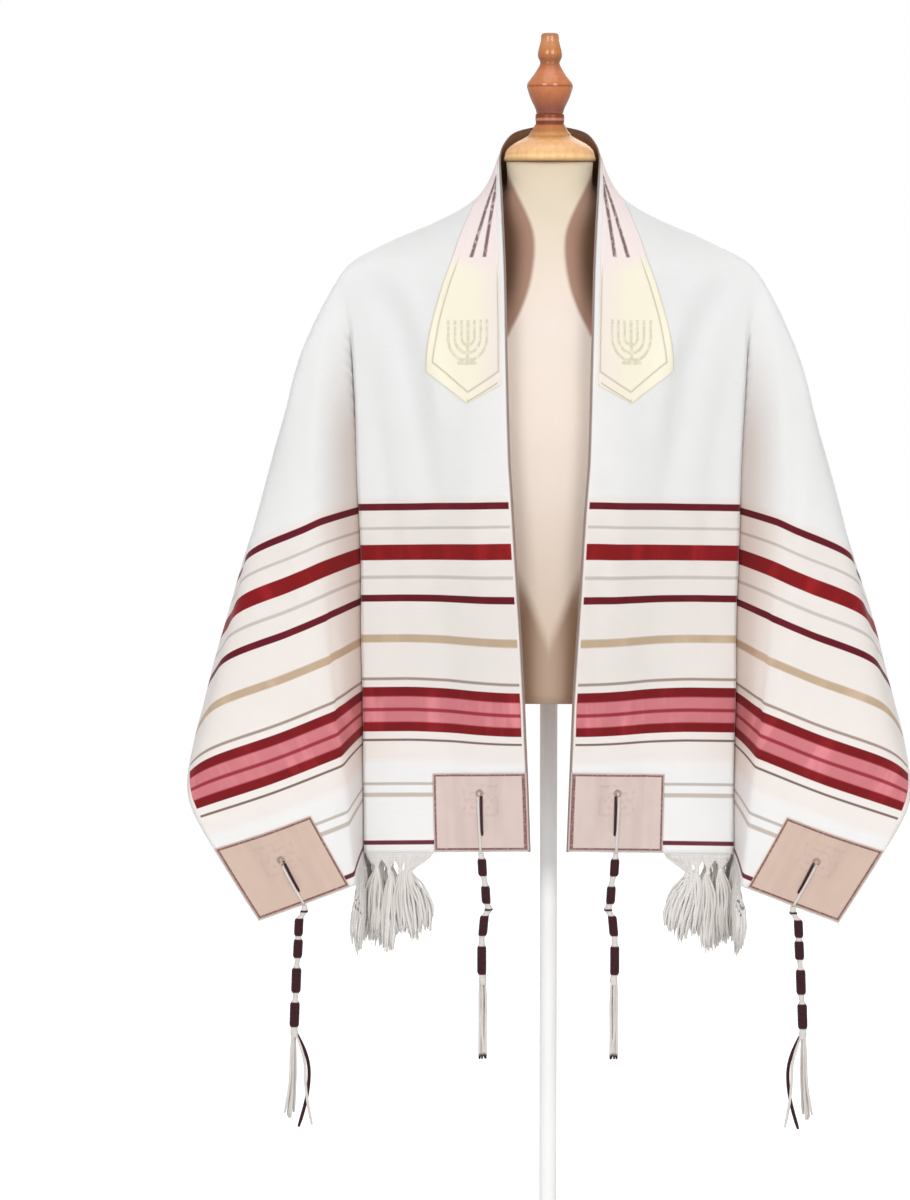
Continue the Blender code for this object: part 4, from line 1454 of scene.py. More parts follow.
@dataclass
class CornerPatch:
    """One satin patch with the stitched eyelet that its tzitzit hangs from."""

    drape: Drape
    side: Side
    corner: Corner
    thickness: float = 0.0008
    lift: float = 0.0013
    along: Pair = (0.825, 0.9135)
    inner: Pair = (0.0015, 0.1145)
    outer: Pair = (0.486, 0.5985)
    eyelets: Pair = (0.848, 0.86)
    eyelet_in: float = 0.058
    stitches: int = 36
    ring: float = 0.0034
    ring_half: float = 0.001
    thread: float = 0.00035

    @property
    def name(self) -> str:
        """Name of the corner, as in the solids."""
        return f"{self.side.word}_{self.corner.value}"

    def build(self) -> list[Piece]:
        """Makes the patch and its eyelet.

        Returns:
            Both pieces.
        """
        edges = self.inner if self.corner is Corner.INNER else self.outer
        along = np.linspace(*self.along, 37)
        across = np.linspace(*edges, 47)
        along, across = np.meshgrid(along, across, indexing="ij")
        from_neck = across - edges[0]
        if self.corner is Corner.OUTER:
            from_neck = edges[1] - across
        places = np.stack((from_neck, along - self.along[0]), axis=-1)
        shape = Shape()
        points = self.drape.over(self.side.value * along, across, self.lift)
        shape.grid(points, places, flip=self.side is Side.LEFT)
        widths = {Corner.INNER: 0.0042, Corner.OUTER: 0.0022}
        grounds = {Corner.INNER: srgb(219, 199, 192), Corner.OUTER: srgb(212, 186, 170)}
        finish = PatchSatin(f"patch satin {self.corner.value}", roughness=0.42, sheen=0.25, specular=0.4,
                            ground=grounds[self.corner], neck_line_width=widths[self.corner]).make()
        made = thicken(shape.make(f"patch_satin_{self.name}", [finish]), self.thickness)
        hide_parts(f"patch_{self.name}")
        return [made, self.build_eyelet()]

    @property
    def eyelet_along(self) -> float:
        """Distance of the eyelet along the cloth."""
        return self.eyelets[0] if self.corner is Corner.INNER else self.eyelets[1]

    @property
    def eyelet_across(self) -> float:
        """Distance of the eyelet across the cloth."""
        return self.eyelet_in if self.corner is Corner.INNER else self.drape.width - self.eyelet_in

    def build_eyelet(self) -> Piece:
        """A ring of close stitches: thread wound round a ring of radius R, so that its path
        is (R + r cos(n t)) round the eyelet and r sin(n t) over the cloth.

        Returns:
            The piece.
        """
        turn = np.linspace(0.0, 2 * np.pi, 433)
        wind = self.stitches * turn
        radius = self.ring + self.ring_half * np.cos(wind)
        along = self.eyelet_along + radius * np.cos(turn)
        across = self.eyelet_across + radius * np.sin(turn)
        lift = self.lift + self.thickness / 2 + 0.0004 + 0.0005 * np.sin(wind)
        path = self.drape.over(self.side.value * along, across, lift)
        shape = Shape()
        shape.tubes(path[None], np.full((1, len(path)), self.thread), 5, 0.35)
        finish = ThreadFinish(f"eyelet thread {self.name}", roughness=0.6, pale=srgb(206, 184, 172),
                              dark=srgb(150, 118, 108)).make()
        made = shape.make(f"eyelet_stitches_{self.name}", [finish])
        return made


@dataclass(frozen=True)
class Lock:
    """One lock of the fringe: where it leaves the hem, where its knot and its end lie
    across the cloth, how far below the hem they are, and its swelling."""

    hem: Pair
    knot: float
    drop: float
    end: float
    length: float
    swell: float


@dataclass
class Fringe:
    """The knotted fringe of one striped end, between its two patches."""

    drape: Drape
    side: Side
    front: tuple[Lock, ...] = (
        Lock((0.1175, 0.133), 0.145, 0.026, 0.124, 0.09, 0.0085),
        Lock((0.129, 0.15), 0.15, 0.028, 0.137, 0.101, 0.0088),
        Lock((0.145, 0.165), 0.156, 0.02, 0.1545, 0.093, 0.0084),
        Lock((0.161, 0.18), 0.169, 0.022, 0.1715, 0.113, 0.0078),
        Lock((0.176, 0.196), 0.184, 0.019, 0.1885, 0.099, 0.009),
    )
    front_run: Pair = (0.1165, 0.197)
    # Start, end, locks, how far they gather and share of the length.
    runs: Pairs = (
        (0.207, 0.281, 5, 0.3, 1.0), (0.292, 0.317, 2, 0.1, 1.0), (0.33, 0.471, 9, 0.22, 0.88),
    )
    # Mean and swing of the knot's drop and of the swelling.
    drop: Pair = (0.02, 0.006)
    swell: Pair = (0.0078, 0.001)
    tail: float = 0.004
    flat: float = 0.7
    ragged: float = 0.22
    knot_radius: float = 0.0028
    knot_half: float = 0.0034
    heading: float = 0.0009
    length: float = 0.098
    uneven: float = 0.012
    threads: int = 26
    rings: int = 22
    thread_radius: float = 0.0015
    curl: float = 0.0011

    def root(self, across: Array) -> tuple[Array, Array]:
        """Places on the hem, and the level direction along it.

        Args:
            across: Distances across the cloth.

        Returns:
            The points and the unit directions.
        """
        end = np.full_like(across, self.side.value * self.drape.half_length)
        point = self.drape.read(self.drape.points, end, across)
        ahead = self.drape.read(self.drape.points, end, across + 0.004) - point
        ahead[..., 2] = 0.0
        return point, unit(ahead)

    def locks(self) -> list[Lock]:
        """The listed locks at the front, and then evenly spaced ones round the side.

        Returns:
            The locks.
        """
        made = list(self.front)
        for start, end, count, gather, shorter in self.runs:
            wide = (end - start) / count
            for k in range(int(count)):
                number = len(made)
                centre = start + wide * (k + 0.5)
                knot = centre + ((start + end) / 2 - centre) * gather
                hem = (max(centre - wide * 0.55, start), min(centre + wide * 0.55, end))
                length = self.length * shorter + self.uneven * math.sin(2.4 * number + 1.0)
                drop = self.drop[0] + self.drop[1] * math.sin(1.9 * number)
                tail = centre + self.tail * math.sin(2.9 * number)
                swell = self.swell[0] + self.swell[1] * math.sin(1.3 * number)
                made.append(Lock(hem, knot, drop, tail, length, swell))
        return made

    def build(self) -> Piece:
        """Each lock's threads leave the hem side by side, meet in a knot, then swell into a
        soft lock with ragged ends: the offset from the lock's line is a radius that follows
        the share of the length, at an angle that turns slowly.

        Returns:
            The piece.
        """
        shape = Shape()
        rng = np.random.default_rng(7 if self.side is Side.LEFT else 8)
        for number, lock in enumerate(self.locks()):
            self.add_lock(shape, rng, number, lock)
        for start, end in (self.front_run, *(run[:2] for run in self.runs)):
            self.add_heading(shape, start, end)
        finish = ThreadFinish("fringe thread", roughness=0.9, sheen=0.35, specular=0.15, twist=0.0034,
                              depth=0.00018, pale=srgb(232, 228, 224), dark=srgb(194, 187, 181)).make()
        made = shape.make(f"fringe_locks_{self.side.word}", [finish])
        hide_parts(f"fringe_{self.side.word}")
        return made

    def add_lock(self, shape: Shape, rng: np.random.Generator, number: int, lock: Lock) -> None:
        """Adds one lock.

        Args:
            shape: The fringe so far.
            rng: Random numbers.
            number: The lock's number.
            lock: Its sizes.
        """
        knot = lock.drop / lock.length
        share = np.unique(np.concatenate((np.linspace(0.0, knot, 6), np.linspace(knot, 1.0, self.rings - 5))))
        hem, _ = self.root(rng.permutation(np.linspace(*lock.hem, self.threads)))
        ends, wide = self.root(np.array([lock.knot, lock.end]))
        wide = unit(wide.mean(axis=0))
        deep = np.array((wide[1], -wide[0], 0.0))
        top = smoothstep(0.0, knot, share)
        down = smoothstep(knot * 0.8, 0.9, share)
        line = ends[0] + (ends[1] - ends[0]) * down[:, None]
        stations = (0.0, knot, knot + 0.05, knot + 0.16, 0.5, 0.8, 1.0)
        radius = lock.swell * np.interp(share, stations, (0.0, 0.2, 0.36, 0.78, 1.0, 0.98, 0.84))
        golden = 2.39996 * np.arange(self.threads) + rng.uniform(0, 6.28)
        ring = np.sqrt((np.arange(self.threads) + 0.5) / self.threads)
        turn = golden[:, None] + (0.5 + 0.3 * math.sin(number)) * share
        sway = 0.002 * math.sin(1.7 * number) * np.sin(2.6 * share) + 0.0012 * np.sin(9.0 * share + number)
        sway = sway * (share > knot)
        phase = rng.uniform(0.0, 6.28, (self.threads, 1))
        curl = self.curl * np.sin(8.0 * share + phase) * smoothstep(knot, knot + 0.3, share)
        hang = line[None] + wide * (np.cos(turn) * ring[:, None] * radius + curl + sway)[..., None]
        hang = hang + deep * (np.sin(turn) * ring[:, None] * radius * self.flat)[..., None]
        path = hem[:, None] * (1 - top)[None, :, None] + hang * top[None, :, None]
        lengths = lock.length * (1.0 - self.ragged * ring * rng.uniform(0.0, 1.0, self.threads))
        path[..., 2] = hem[:, 2:3] - 0.0006 - lengths[:, None] * share
        stations = (0.0, knot * 0.7, knot + 0.2, 0.85, 1.0)
        radii = self.thread_radius * np.interp(share, stations, (0.45, 0.6, 1.0, 1.05, 0.35))
        tone = np.clip(rng.uniform(-0.1, 0.45, self.threads), 0.0, 1.0)
        shape.tubes(path, np.broadcast_to(radii, path.shape[:2]), 6, tone)
        middle = np.repeat(ends[:1], 9, axis=0)
        middle[:, 2] = hem[:, 2].mean() - lock.drop - np.linspace(-self.knot_half, self.knot_half, 9)
        swell = self.knot_radius * np.sqrt(np.clip(1.0 - np.linspace(-0.97, 0.97, 9) ** 2, 0.0, 1.0))
        shape.tubes(middle[None], swell[None], 9, 0.05)

    def add_heading(self, shape: Shape, start: float, end: float) -> None:
        """Adds the hem's turned edge, a round tube that the locks hang from.

        Args:
            shape: The fringe so far.
            start: First distance across.
            end: Last distance across.
        """
        across = np.linspace(start, end, max(8, int((end - start) / 0.002)))
        point, _ = self.root(across)
        point[:, 2] -= self.heading
        shape.tubes(point[None], np.full((1, len(across)), self.heading), 6, 0.0)


@dataclass
class Tzitzit:
    """One knotted and wound cord with its loose ends, hanging from a corner's eyelet."""

    patch: CornerPatch
    rows: Pairs
    dark: Pairs
    ends: float
    fan: Pairs
    dark_ends: tuple[int, ...]
    wind: float = 0.0017
    string: float = 0.00155
    stout: float = 1.14
    rounding: int = 19
    widest: float = 0.42
    sides: int = 14
    ring_step: float = 0.0004
    soft: float = 0.0006
    loose: float = 1.7
    ridge: float = 0.13

    def build(self) -> Piece:
        """Makes the two strings over the patch, the wound cord and the loose ends.

        Returns:
            The piece.
        """
        drape, side = self.patch.drape, self.patch.side.value
        across = self.patch.eyelet_across
        hem_along = np.array(side * drape.half_length)
        hem = drape.over(hem_along, np.array(across), 0.004)
        beside = drape.over(hem_along, np.array(across + 0.02), 0.004) - hem
        beside[2] = 0.0
        wide = unit(beside)
        wide = wide * (1.0 if wide[0] > 0 else -1.0)
        deep = np.array((-wide[1], wide[0], 0.0))
        shape = Shape()
        self.add_strings(shape)
        self.add_cord(shape, hem + np.array((0.0, -0.002, 0.0)), wide, deep)
        self.add_ends(shape, hem + np.array((0.0, -0.002, 0.0)), wide, deep)
        finish = ThreadFinish(f"tzitzit thread {self.patch.name}", roughness=0.7, sheen=0.2, specular=0.3,
                              pale=srgb(222, 216, 210), dark=srgb(58, 16, 26), twist=0.0016,
                              depth=0.0002).make()
        made = shape.make(f"tzitzit_cord_{self.patch.name}", [finish])
        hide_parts(f"tzitzit_{self.patch.name}")
        return made

    def add_strings(self, shape: Shape) -> None:
        """Adds a pale and a dark string from the eyelet down over the patch.

        Args:
            shape: The tzitzit so far.
        """
        drape, side = self.patch.drape, self.patch.side.value
        steps = np.linspace(0.0, 1.0, 26)
        along = self.patch.eyelet_along + (drape.half_length - 0.0005 - self.patch.eyelet_along) * steps
        for offset, last, tone in ((-0.0016, 1.0, 0.0), (0.0022, 0.72, 1.0)):
            share = steps * last
            here = self.patch.eyelet_along + (along[-1] - self.patch.eyelet_along) * share
            lift = 0.002 + 0.0012 * np.sin(np.pi * np.clip(share * 1.1, 0, 1)) - 0.0012 * (share < 0.05)
            if tone:
                lift = lift - 0.0022 * smoothstep(0.88, 1.0, steps)
            over = self.patch.eyelet_across - offset * (1 - 0.4 * share)
            path = drape.over(side * here, over, lift)
            shape.tubes(path[None], np.full((1, 26), 0.0015), 8, tone)

    def add_cord(self, shape: Shape, start: Array, wide: Array, deep: Array) -> None:
        """Adds the wound cord: an oval that follows the rows' half widths, with a ridge of
        |sin(pi (z / pitch + turn / 2 pi))| for each turn of the winding.

        Args:
            shape: The tzitzit so far.
            start: Where it starts, at the hem.
            wide: Level direction along the hem.
            deep: Level direction out of the cloth.
        """
        below = np.arange(0.0, self.rows[-1][0], self.ring_step)
        rows = columns(self.rows, np.maximum(below, self.rows[0][0]))
        spread = np.hanning(self.rounding + 2)[1:-1]
        padded = np.pad(rows, ((self.rounding // 2, self.rounding // 2), (0, 0)), mode="edge")
        rows = sum(w * padded[i: i + len(rows)] for i, w in enumerate(spread / spread.sum()))
        turn = around(self.sides)
        dark = self.darkness(below)
        pitch = np.where(dark > 0.5, self.wind, self.wind * self.loose)
        phase = np.cumsum(np.pi * self.ring_step / pitch)
        ridge = np.abs(np.sin(phase[:, None] + turn / 2))
        swell = 0.9 + self.ridge * ridge
        middle = start + self.patch.side.value * rows[:, :1] * np.array((1.0, 0.0, 0.0))
        middle[:, 2] -= below
        bulge = np.convolve(dark, spread / spread.sum(), mode="same")
        swell = swell * (1.0 + (self.stout - 1.0) * bulge[:, None])
        ring = (np.cos(turn) * rows[:, 1:2] * swell)[..., None] * wide
        ring = ring + (np.sin(turn) * rows[:, 2:3] * swell)[..., None] * deep
        points = middle[:, None] + ring
        places = np.stack(np.broadcast_arrays(below[:, None], turn * 0.004), axis=-1)
        tone = np.broadcast_to(dark[:, None], points.shape[:2])
        shape.grid(points, places, tone, closed=True, flip=True)
        caps = [(middle[0] + [0, 0, self.soft], 0), (middle[-1] - [0, 0, self.soft], len(below) - 1)]
        base = shape.count - points.shape[0] * points.shape[1]
        for centre, row in caps:
            first = base + row * self.sides - shape.count
            fan = [[0, first + k, first + (k + 1) % self.sides] for k in range(self.sides)]
            if row:
                fan = [face[::-1] for face in fan]
            shape.add(np.array([centre]), np.zeros((1, 2)), float(dark[row]), fan)

    def darkness(self, below: Array) -> Array:
        """1 where the cord is wound with dark thread, with edges 1 mm soft.

        Args:
            below: Distances below the hem.

        Returns:
            The tone.
        """
        total = np.zeros_like(below)
        for low, high in self.dark:
            inside = smoothstep(low - self.soft, low + self.soft, below)
            inside = inside * (1 - smoothstep(high - self.soft, high + self.soft, below))
            total = np.maximum(total, inside)
        return total

    def add_ends(self, shape: Shape, start: Array, wide: Array, deep: Array) -> None:
        """Adds the eight loose strings. Each follows its row of the fan table: how far it
        leans outward at its widest place and at the end, and its share of the length.

        Args:
            shape: The tzitzit so far.
            start: Where the cord starts, at the hem.
            wide: Level direction along the hem.
            deep: Level direction out of the cloth.
        """
        below, sway = self.rows[-1][0], self.rows[-1][1]
        foot = start + np.array((self.patch.side.value * sway, 0.0, -below + 0.004))
        outward = np.array((self.patch.side.value * wide[0], wide[1], 0.0))
        share = np.linspace(0.0, 1.0, 24)
        for k, (at, middle, end, length, dark_tip) in enumerate(self.fan):
            rise = np.sin(np.pi / 2 * np.minimum(share / self.widest, 1.0))
            fall = 1.0 - np.cos(np.pi / 2 * np.maximum(share - self.widest, 0.0) / (1.0 - self.widest))
            lean = at + (middle - at) * rise + (end - middle) * fall
            depth = 0.0016 * (1 if k % 2 else -1) * (0.6 + share) + 0.0006 * np.sin(7 * share + k)
            path = foot + lean[:, None] * outward + depth[:, None] * deep
            path[:, 2] -= self.ends * length * share
            tone = np.full(24, 1.0 if k in self.dark_ends else 0.05 * (k % 3))
            tone = np.maximum(tone, dark_tip * (share > 0.93))
            wider = 1.3 if k in self.dark_ends else 1.0
            radii = self.string * wider * np.interp(share, (0.0, 0.15, 0.92, 1.0), (0.7, 1.0, 1.05, 0.75))
            shape.tubes(path[None], radii[None], 7, tone[None])


# Colour by height on the cap and the finial: partly the wood's stain, partly painted highlights on the rims
# and beads and painted shade in the grooves.
CAP_RINGS = (
    (1.375, srgb(150, 104, 72)), (1.3765, srgb(196, 148, 92)), (1.379, srgb(226, 186, 128)),
    (1.3815, srgb(246, 208, 150)), (1.384, srgb(240, 186, 130)), (1.393, srgb(244, 190, 136)),
    (1.399, srgb(238, 180, 122)), (1.403, srgb(196, 134, 76)), (1.406, srgb(210, 150, 92)),
    (1.41, srgb(184, 118, 62)), (1.415, srgb(196, 120, 72)), (1.417, srgb(132, 64, 34)),
    (1.42, srgb(120, 52, 28)), (1.4225, srgb(206, 142, 114)), (1.425, srgb(128, 58, 32)),
    (1.429, srgb(140, 66, 36)),
)
FINIAL_RINGS = (
    (1.4293, srgb(150, 80, 44)), (1.433, srgb(132, 62, 30)), (1.448, srgb(176, 96, 46)),
    (1.458, srgb(200, 118, 62)), (1.46, srgb(150, 78, 38)), (1.462, srgb(206, 122, 66)),
    (1.476, srgb(204, 120, 74)), (1.486, srgb(168, 94, 50)), (1.49, srgb(150, 82, 38)),
    (1.496, srgb(196, 118, 56)), (1.51, srgb(208, 138, 84)), (1.52, srgb(176, 112, 66)),
)


@dataclass
class DressForm:
    """The covered torso with its turned neck cap and finial."""

    sections: Pairs = (
        (0.7675, 0.159, 0.09, 0.099), (0.7735, 0.164, 0.095, 0.104),
        (0.789, 0.164, 0.096, 0.105), (0.82, 0.158, 0.094, 0.101),
        (0.88, 0.148, 0.09, 0.092), (0.95, 0.148, 0.091, 0.089),
        (1.02, 0.16, 0.095, 0.098), (1.09, 0.17, 0.096, 0.104),
        (1.15, 0.173, 0.09, 0.104), (1.2, 0.171, 0.081, 0.096),
        (1.24, 0.164, 0.072, 0.087), (1.268, 0.152, 0.063, 0.078),
        (1.286, 0.135, 0.056, 0.07), (1.301, 0.11, 0.05, 0.062),
        (1.316, 0.08, 0.046, 0.056), (1.331, 0.0585, 0.045, 0.051),
        (1.346, 0.05, 0.044, 0.047), (1.36, 0.049, 0.043, 0.044),
        (1.3745, 0.05, 0.044, 0.044),
    )
    square: float = 2.3
    inset: float = 0.0008
    sides: int = 120
    seam: float = 0.0009
    cap: Pairs = (
        (1.375, 0.0), (1.375, 0.0505), (1.3758, 0.0516), (1.378, 0.052), (1.38, 0.0518),
        (1.3808, 0.051), (1.383, 0.0508), (1.386, 0.05), (1.389, 0.0482), (1.392, 0.0452),
        (1.395, 0.041), (1.398, 0.0358), (1.401, 0.03), (1.4035, 0.0255), (1.405, 0.0238),
        (1.406, 0.0236), (1.407, 0.0226), (1.41, 0.0202), (1.413, 0.0186), (1.415, 0.0178),
        (1.4165, 0.0168), (1.4175, 0.016), (1.4185, 0.0158), (1.42, 0.0161), (1.4225, 0.0163),
        (1.4255, 0.0163), (1.428, 0.0161), (1.4288, 0.0157), (1.429, 0.0152), (1.429, 0.0),
    )
    finial: Pairs = (
        (1.4293, 0.0), (1.4293, 0.0148), (1.4305, 0.0154), (1.433, 0.0158), (1.437, 0.0174),
        (1.442, 0.02), (1.449, 0.023), (1.456, 0.0252), (1.4585, 0.0259), (1.4605, 0.026),
        (1.4625, 0.0258), (1.464, 0.0252), (1.468, 0.0223), (1.472, 0.019), (1.478, 0.015),
        (1.483, 0.012), (1.485, 0.0112), (1.4867, 0.011), (1.489, 0.0118), (1.4915, 0.0132),
        (1.4945, 0.0137), (1.497, 0.0138), (1.5005, 0.0132), (1.504, 0.0122), (1.508, 0.0112),
        (1.511, 0.0104), (1.5145, 0.0102), (1.517, 0.01), (1.5187, 0.0092), (1.5195, 0.008),
        (1.52, 0.0),
    )

    def build(self) -> list[Piece]:
        """Makes the torso, the cap and the finial.

        Returns:
            The three pieces.
        """
        wood = TurnedWood("turned wood", roughness=0.38, coat=0.12, specular=0.3, rings=CAP_RINGS).make()
        deep = TurnedWood("turned wood dark", roughness=0.28, coat=0.5, specular=0.5,
                          rings=FINIAL_RINGS).make()
        return [self.build_torso(), lathe("form_cap_wood", self.cap, wood, "form_neck_cap"),
                lathe("form_finial_wood", self.finial, deep, "form_finial")]

    def build_torso(self) -> Piece:
        """Squared ovals |x / a|^n + |y / b|^n = 1, with sizes that follow the height on one
        smooth curve, and closed ends.

        Returns:
            The piece.
        """
        low, high = self.sections[0][0], self.sections[-1][0]
        edge = low + 0.008
        height = np.concatenate((np.linspace(low, edge, 8)[:-1], np.linspace(edge, high, 110)))
        size = smooth_columns(self.sections, height)
        size[height < edge] = columns(self.sections, height[height < edge])
        turn = around(self.sides)
        x = np.sign(np.cos(turn)) * np.abs(np.cos(turn)) ** (2 / self.square)
        y = np.sign(np.sin(turn)) * np.abs(np.sin(turn)) ** (2 / self.square)
        half = np.where(y[None, :] > 0, size[:, 2:3], size[:, 1:2]) - self.inset
        seam = self.seam * np.exp(-((np.abs(np.sin(turn)) / 0.035) ** 2)) * (np.abs(np.cos(turn)) > 0.5)
        seam = seam + self.seam * np.exp(-((np.cos(turn) / 0.03) ** 2)) * (np.sin(turn) > 0)
        wide = (size[:, :1] - self.inset) * (1 - seam / 0.12)
        deep = half * (1 - seam / 0.08)
        points = np.stack(np.broadcast_arrays(x * wide, y * deep, height[:, None]), axis=-1)
        places = np.stack(np.broadcast_arrays(turn * 0.13, height[:, None]), axis=-1)
        shape = Shape()
        shape.grid(points, places, closed=True, flip=True)
        shape.close(len(height), self.sides)
        finish = CoverCloth("form cover", roughness=0.85, sheen=0.15, specular=0.2).make()
        made = shape.make("form_cover", [finish])
        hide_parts("form_torso")
        return made


def lathe(name: str, profile: Pairs, finish: Material, node: str,
          sides: int = 96) -> Piece:
    """A turned piece: the profile's radius carried round the pole's axis.

    Args:
        name: Name of the piece.
        profile: Height and radius, from the foot to the top, both ends on the axis.
        finish: Its material.
        node: The solid that it stands for.
        sides: Sides round the axis.

    Returns:
        The piece.
    """
    rows = np.array(profile)
    turn = around(sides)
    ring = np.stack((np.cos(turn), np.sin(turn)), axis=-1)
    body = rows[1:-1]
    height = np.broadcast_to(body[:, None, :1], (len(body), sides, 1))
    points = np.concatenate((body[:, None, 1:] * ring, height), axis=-1)
    places = np.stack(np.broadcast_arrays(turn * 0.03, body[:, :1]), axis=-1)
    shape = Shape()
    shape.grid(points, places, closed=True, flip=True)
    shape.close(len(body), sides)
    made = shape.make(name, [finish])
    made.data.set_sharp_from_angle(angle=SHARP)
    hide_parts(node)
    return made


@dataclass
class Stand:
    """The slim white pole and its round base."""

    pole: Pairs = ((0.0343, 0.0), (0.0343, 0.01), (0.7672, 0.01), (0.7672, 0.0))
    base: Pairs = (
        (0.0, 0.0), (0.0, 0.1885), (0.0003, 0.1894), (0.001, 0.19), (0.005, 0.19),
        (0.0066, 0.1893), (0.008, 0.1868), (0.009, 0.182), (0.011, 0.14), (0.013, 0.1045),
        (0.0146, 0.065), (0.0156, 0.033), (0.016, 0.0265), (0.017, 0.0225), (0.0188, 0.0203),
        (0.0215, 0.02), (0.031, 0.02), (0.033, 0.019), (0.034, 0.017), (0.034, 0.0),
    )

    def build(self) -> list[Piece]:
        """Makes the pole and the base.

        Returns:
            Both pieces.
        """
        paint = PaintedMetal("white paint", roughness=0.55, specular=0.3).make()
        return [lathe("stand_pole_tube", self.pole, paint, "stand_pole", 48),
                lathe("stand_base_plate", self.base, paint, "stand_base", 128)]


@dataclass
class Studio:
    """Floor, soft light and camera."""

    camera_at: tuple[float, float, float] = (0.0, -4.82, 1.3)
    aim: tuple[float, float, float] = (-0.1073, 0.0, 0.8769)
    lens: float = 127.07
    sky: float = 0.5
    glow: float = 0.55
    floor_tone: Colour = (0.93, 0.93, 0.93)
    floor_half: float = 14.0
    sensor: float = 36.0
    lamps: tuple[tuple[str, tuple[float, float, float], float, float], ...] = (
        ("front left", (-1.9, -3.8, 2.4), 1.6, 50.0),
        ("front right", (1.9, -3.8, 2.4), 1.6, 50.0),
        ("above", (0.0, -0.4, 4.2), 2.6, 24.0),
        ("back", (0.4, 3.6, 2.8), 2.6, 36.0),
    )

    def build(self) -> None:
        """Makes the floor, the world's light, the lamps and the camera."""
        self.build_floor()
        world = bpy.data.worlds.new("studio")
        bpy.context.scene.world = world
        world.use_nodes = True
        sky = world.node_tree.nodes["Background"]
        graph = Graph(world.node_tree)
        seen = graph.node("ShaderNodeLightPath").outputs["Is Camera Ray"]
        sky.inputs["Color"].default_value = (1.0, 1.0, 1.0, 1.0)
        graph.feed(sky.inputs["Strength"], graph.ramp(seen, 0.0, 1.0, self.sky, 1.0))
        for name, place, size, power in self.lamps:
            self.lamp(name, place, size, power)
        bpy.context.scene.view_settings.view_transform = "Standard"
        self.build_camera()

    def build_floor(self) -> None:
        """A plain pale floor, which isn't part of the object."""
        mesh = bpy.data.meshes.new("floor")
        far = self.floor_half
        corners = [(-far, -far, 0.0), (far, -far, 0.0), (far, far, 0.0), (-far, far, 0.0)]
        mesh.from_pydata(corners, [], [(0, 1, 2, 3)])
        made = bpy.data.objects.new("floor", mesh)
        bpy.context.scene.collection.objects.link(made)
        paint = bpy.data.materials.new("pale floor")
        paint.use_nodes = True
        shader = paint.node_tree.nodes["Principled BSDF"]
        shader.inputs["Base Color"].default_value = (*self.floor_tone, 1.0)
        shader.inputs["Roughness"].default_value = 0.9
        shader.inputs["Specular IOR Level"].default_value = 0.1
        graph = Graph(paint.node_tree)
        seen = graph.node("ShaderNodeLightPath").outputs["Is Camera Ray"]
        shader.inputs["Emission Color"].default_value = (1.0, 1.0, 1.0, 1.0)
        graph.feed(shader.inputs["Emission Strength"], graph.times(seen, self.glow))
        mesh.materials.append(paint)

    @staticmethod
    def lamp(name: str, place: tuple[float, float, float], size: float, power: float) -> None:
        """Adds a soft square lamp that faces the shawl.

        Args:
            name: Its name.
            place: Where it hangs.
            size: Its side.
            power: Its power in watts.
        """
        light = bpy.data.lights.new(name, "AREA")
        light.size = size
        light.energy = power
        made = bpy.data.objects.new(name, light)
        made.location = place
        target = Vector((0.0, 0.0, 0.95)) - made.location
        made.rotation_euler = target.to_track_quat("-Z", "Y").to_euler()
        bpy.context.scene.collection.objects.link(made)

    def build_camera(self) -> None:
        """A long lens a little above the shoulders, which looks slightly down."""
        data = bpy.data.cameras.new("camera")
        data.lens = self.lens
        data.sensor_width = self.sensor
        made = bpy.data.objects.new("camera", data)
        made.location = self.camera_at
        aim = Vector(self.aim) - made.location
        made.rotation_euler = aim.to_track_quat("-Z", "Y").to_euler()
        bpy.context.scene.collection.objects.link(made)
        bpy.context.scene.camera = made


INNER_ROWS = (
    (0.002, 0.0, 0.0034, 0.0026), (0.0055, -0.001, 0.0034, 0.003), (0.0068, -0.001, 0.0046, 0.0046),
    (0.0252, -0.002, 0.0046, 0.0046), (0.0265, -0.003, 0.0032, 0.0032), (0.0365, -0.005, 0.0033, 0.0033),
    (0.0378, -0.005, 0.0046, 0.0046), (0.0565, -0.006, 0.0046, 0.0046), (0.058, -0.007, 0.0034, 0.0034),
    (0.062, -0.009, 0.004, 0.004), (0.064, -0.009, 0.005, 0.0048), (0.0662, -0.008, 0.004, 0.004),
    (0.0695, -0.006, 0.0034, 0.0034), (0.0712, -0.004, 0.0046, 0.0044), (0.093, -0.002, 0.0046, 0.0046),
    (0.0945, -0.001, 0.0034, 0.0034), (0.1045, -0.001, 0.0034, 0.0034), (0.106, -0.001, 0.0047, 0.0047),
    (0.1372, -0.001, 0.0047, 0.0047), (0.1388, -0.002, 0.0034, 0.0034), (0.141, -0.002, 0.0042, 0.004),
    (0.1445, -0.002, 0.0046, 0.0042), (0.148, -0.002, 0.0042, 0.0034), (0.15, -0.002, 0.0034, 0.0024),
)
INNER_DARK = ((0.0062, 0.0258), (0.0372, 0.0572), (0.0628, 0.0652), (0.0706, 0.0938), (0.1054, 0.138))
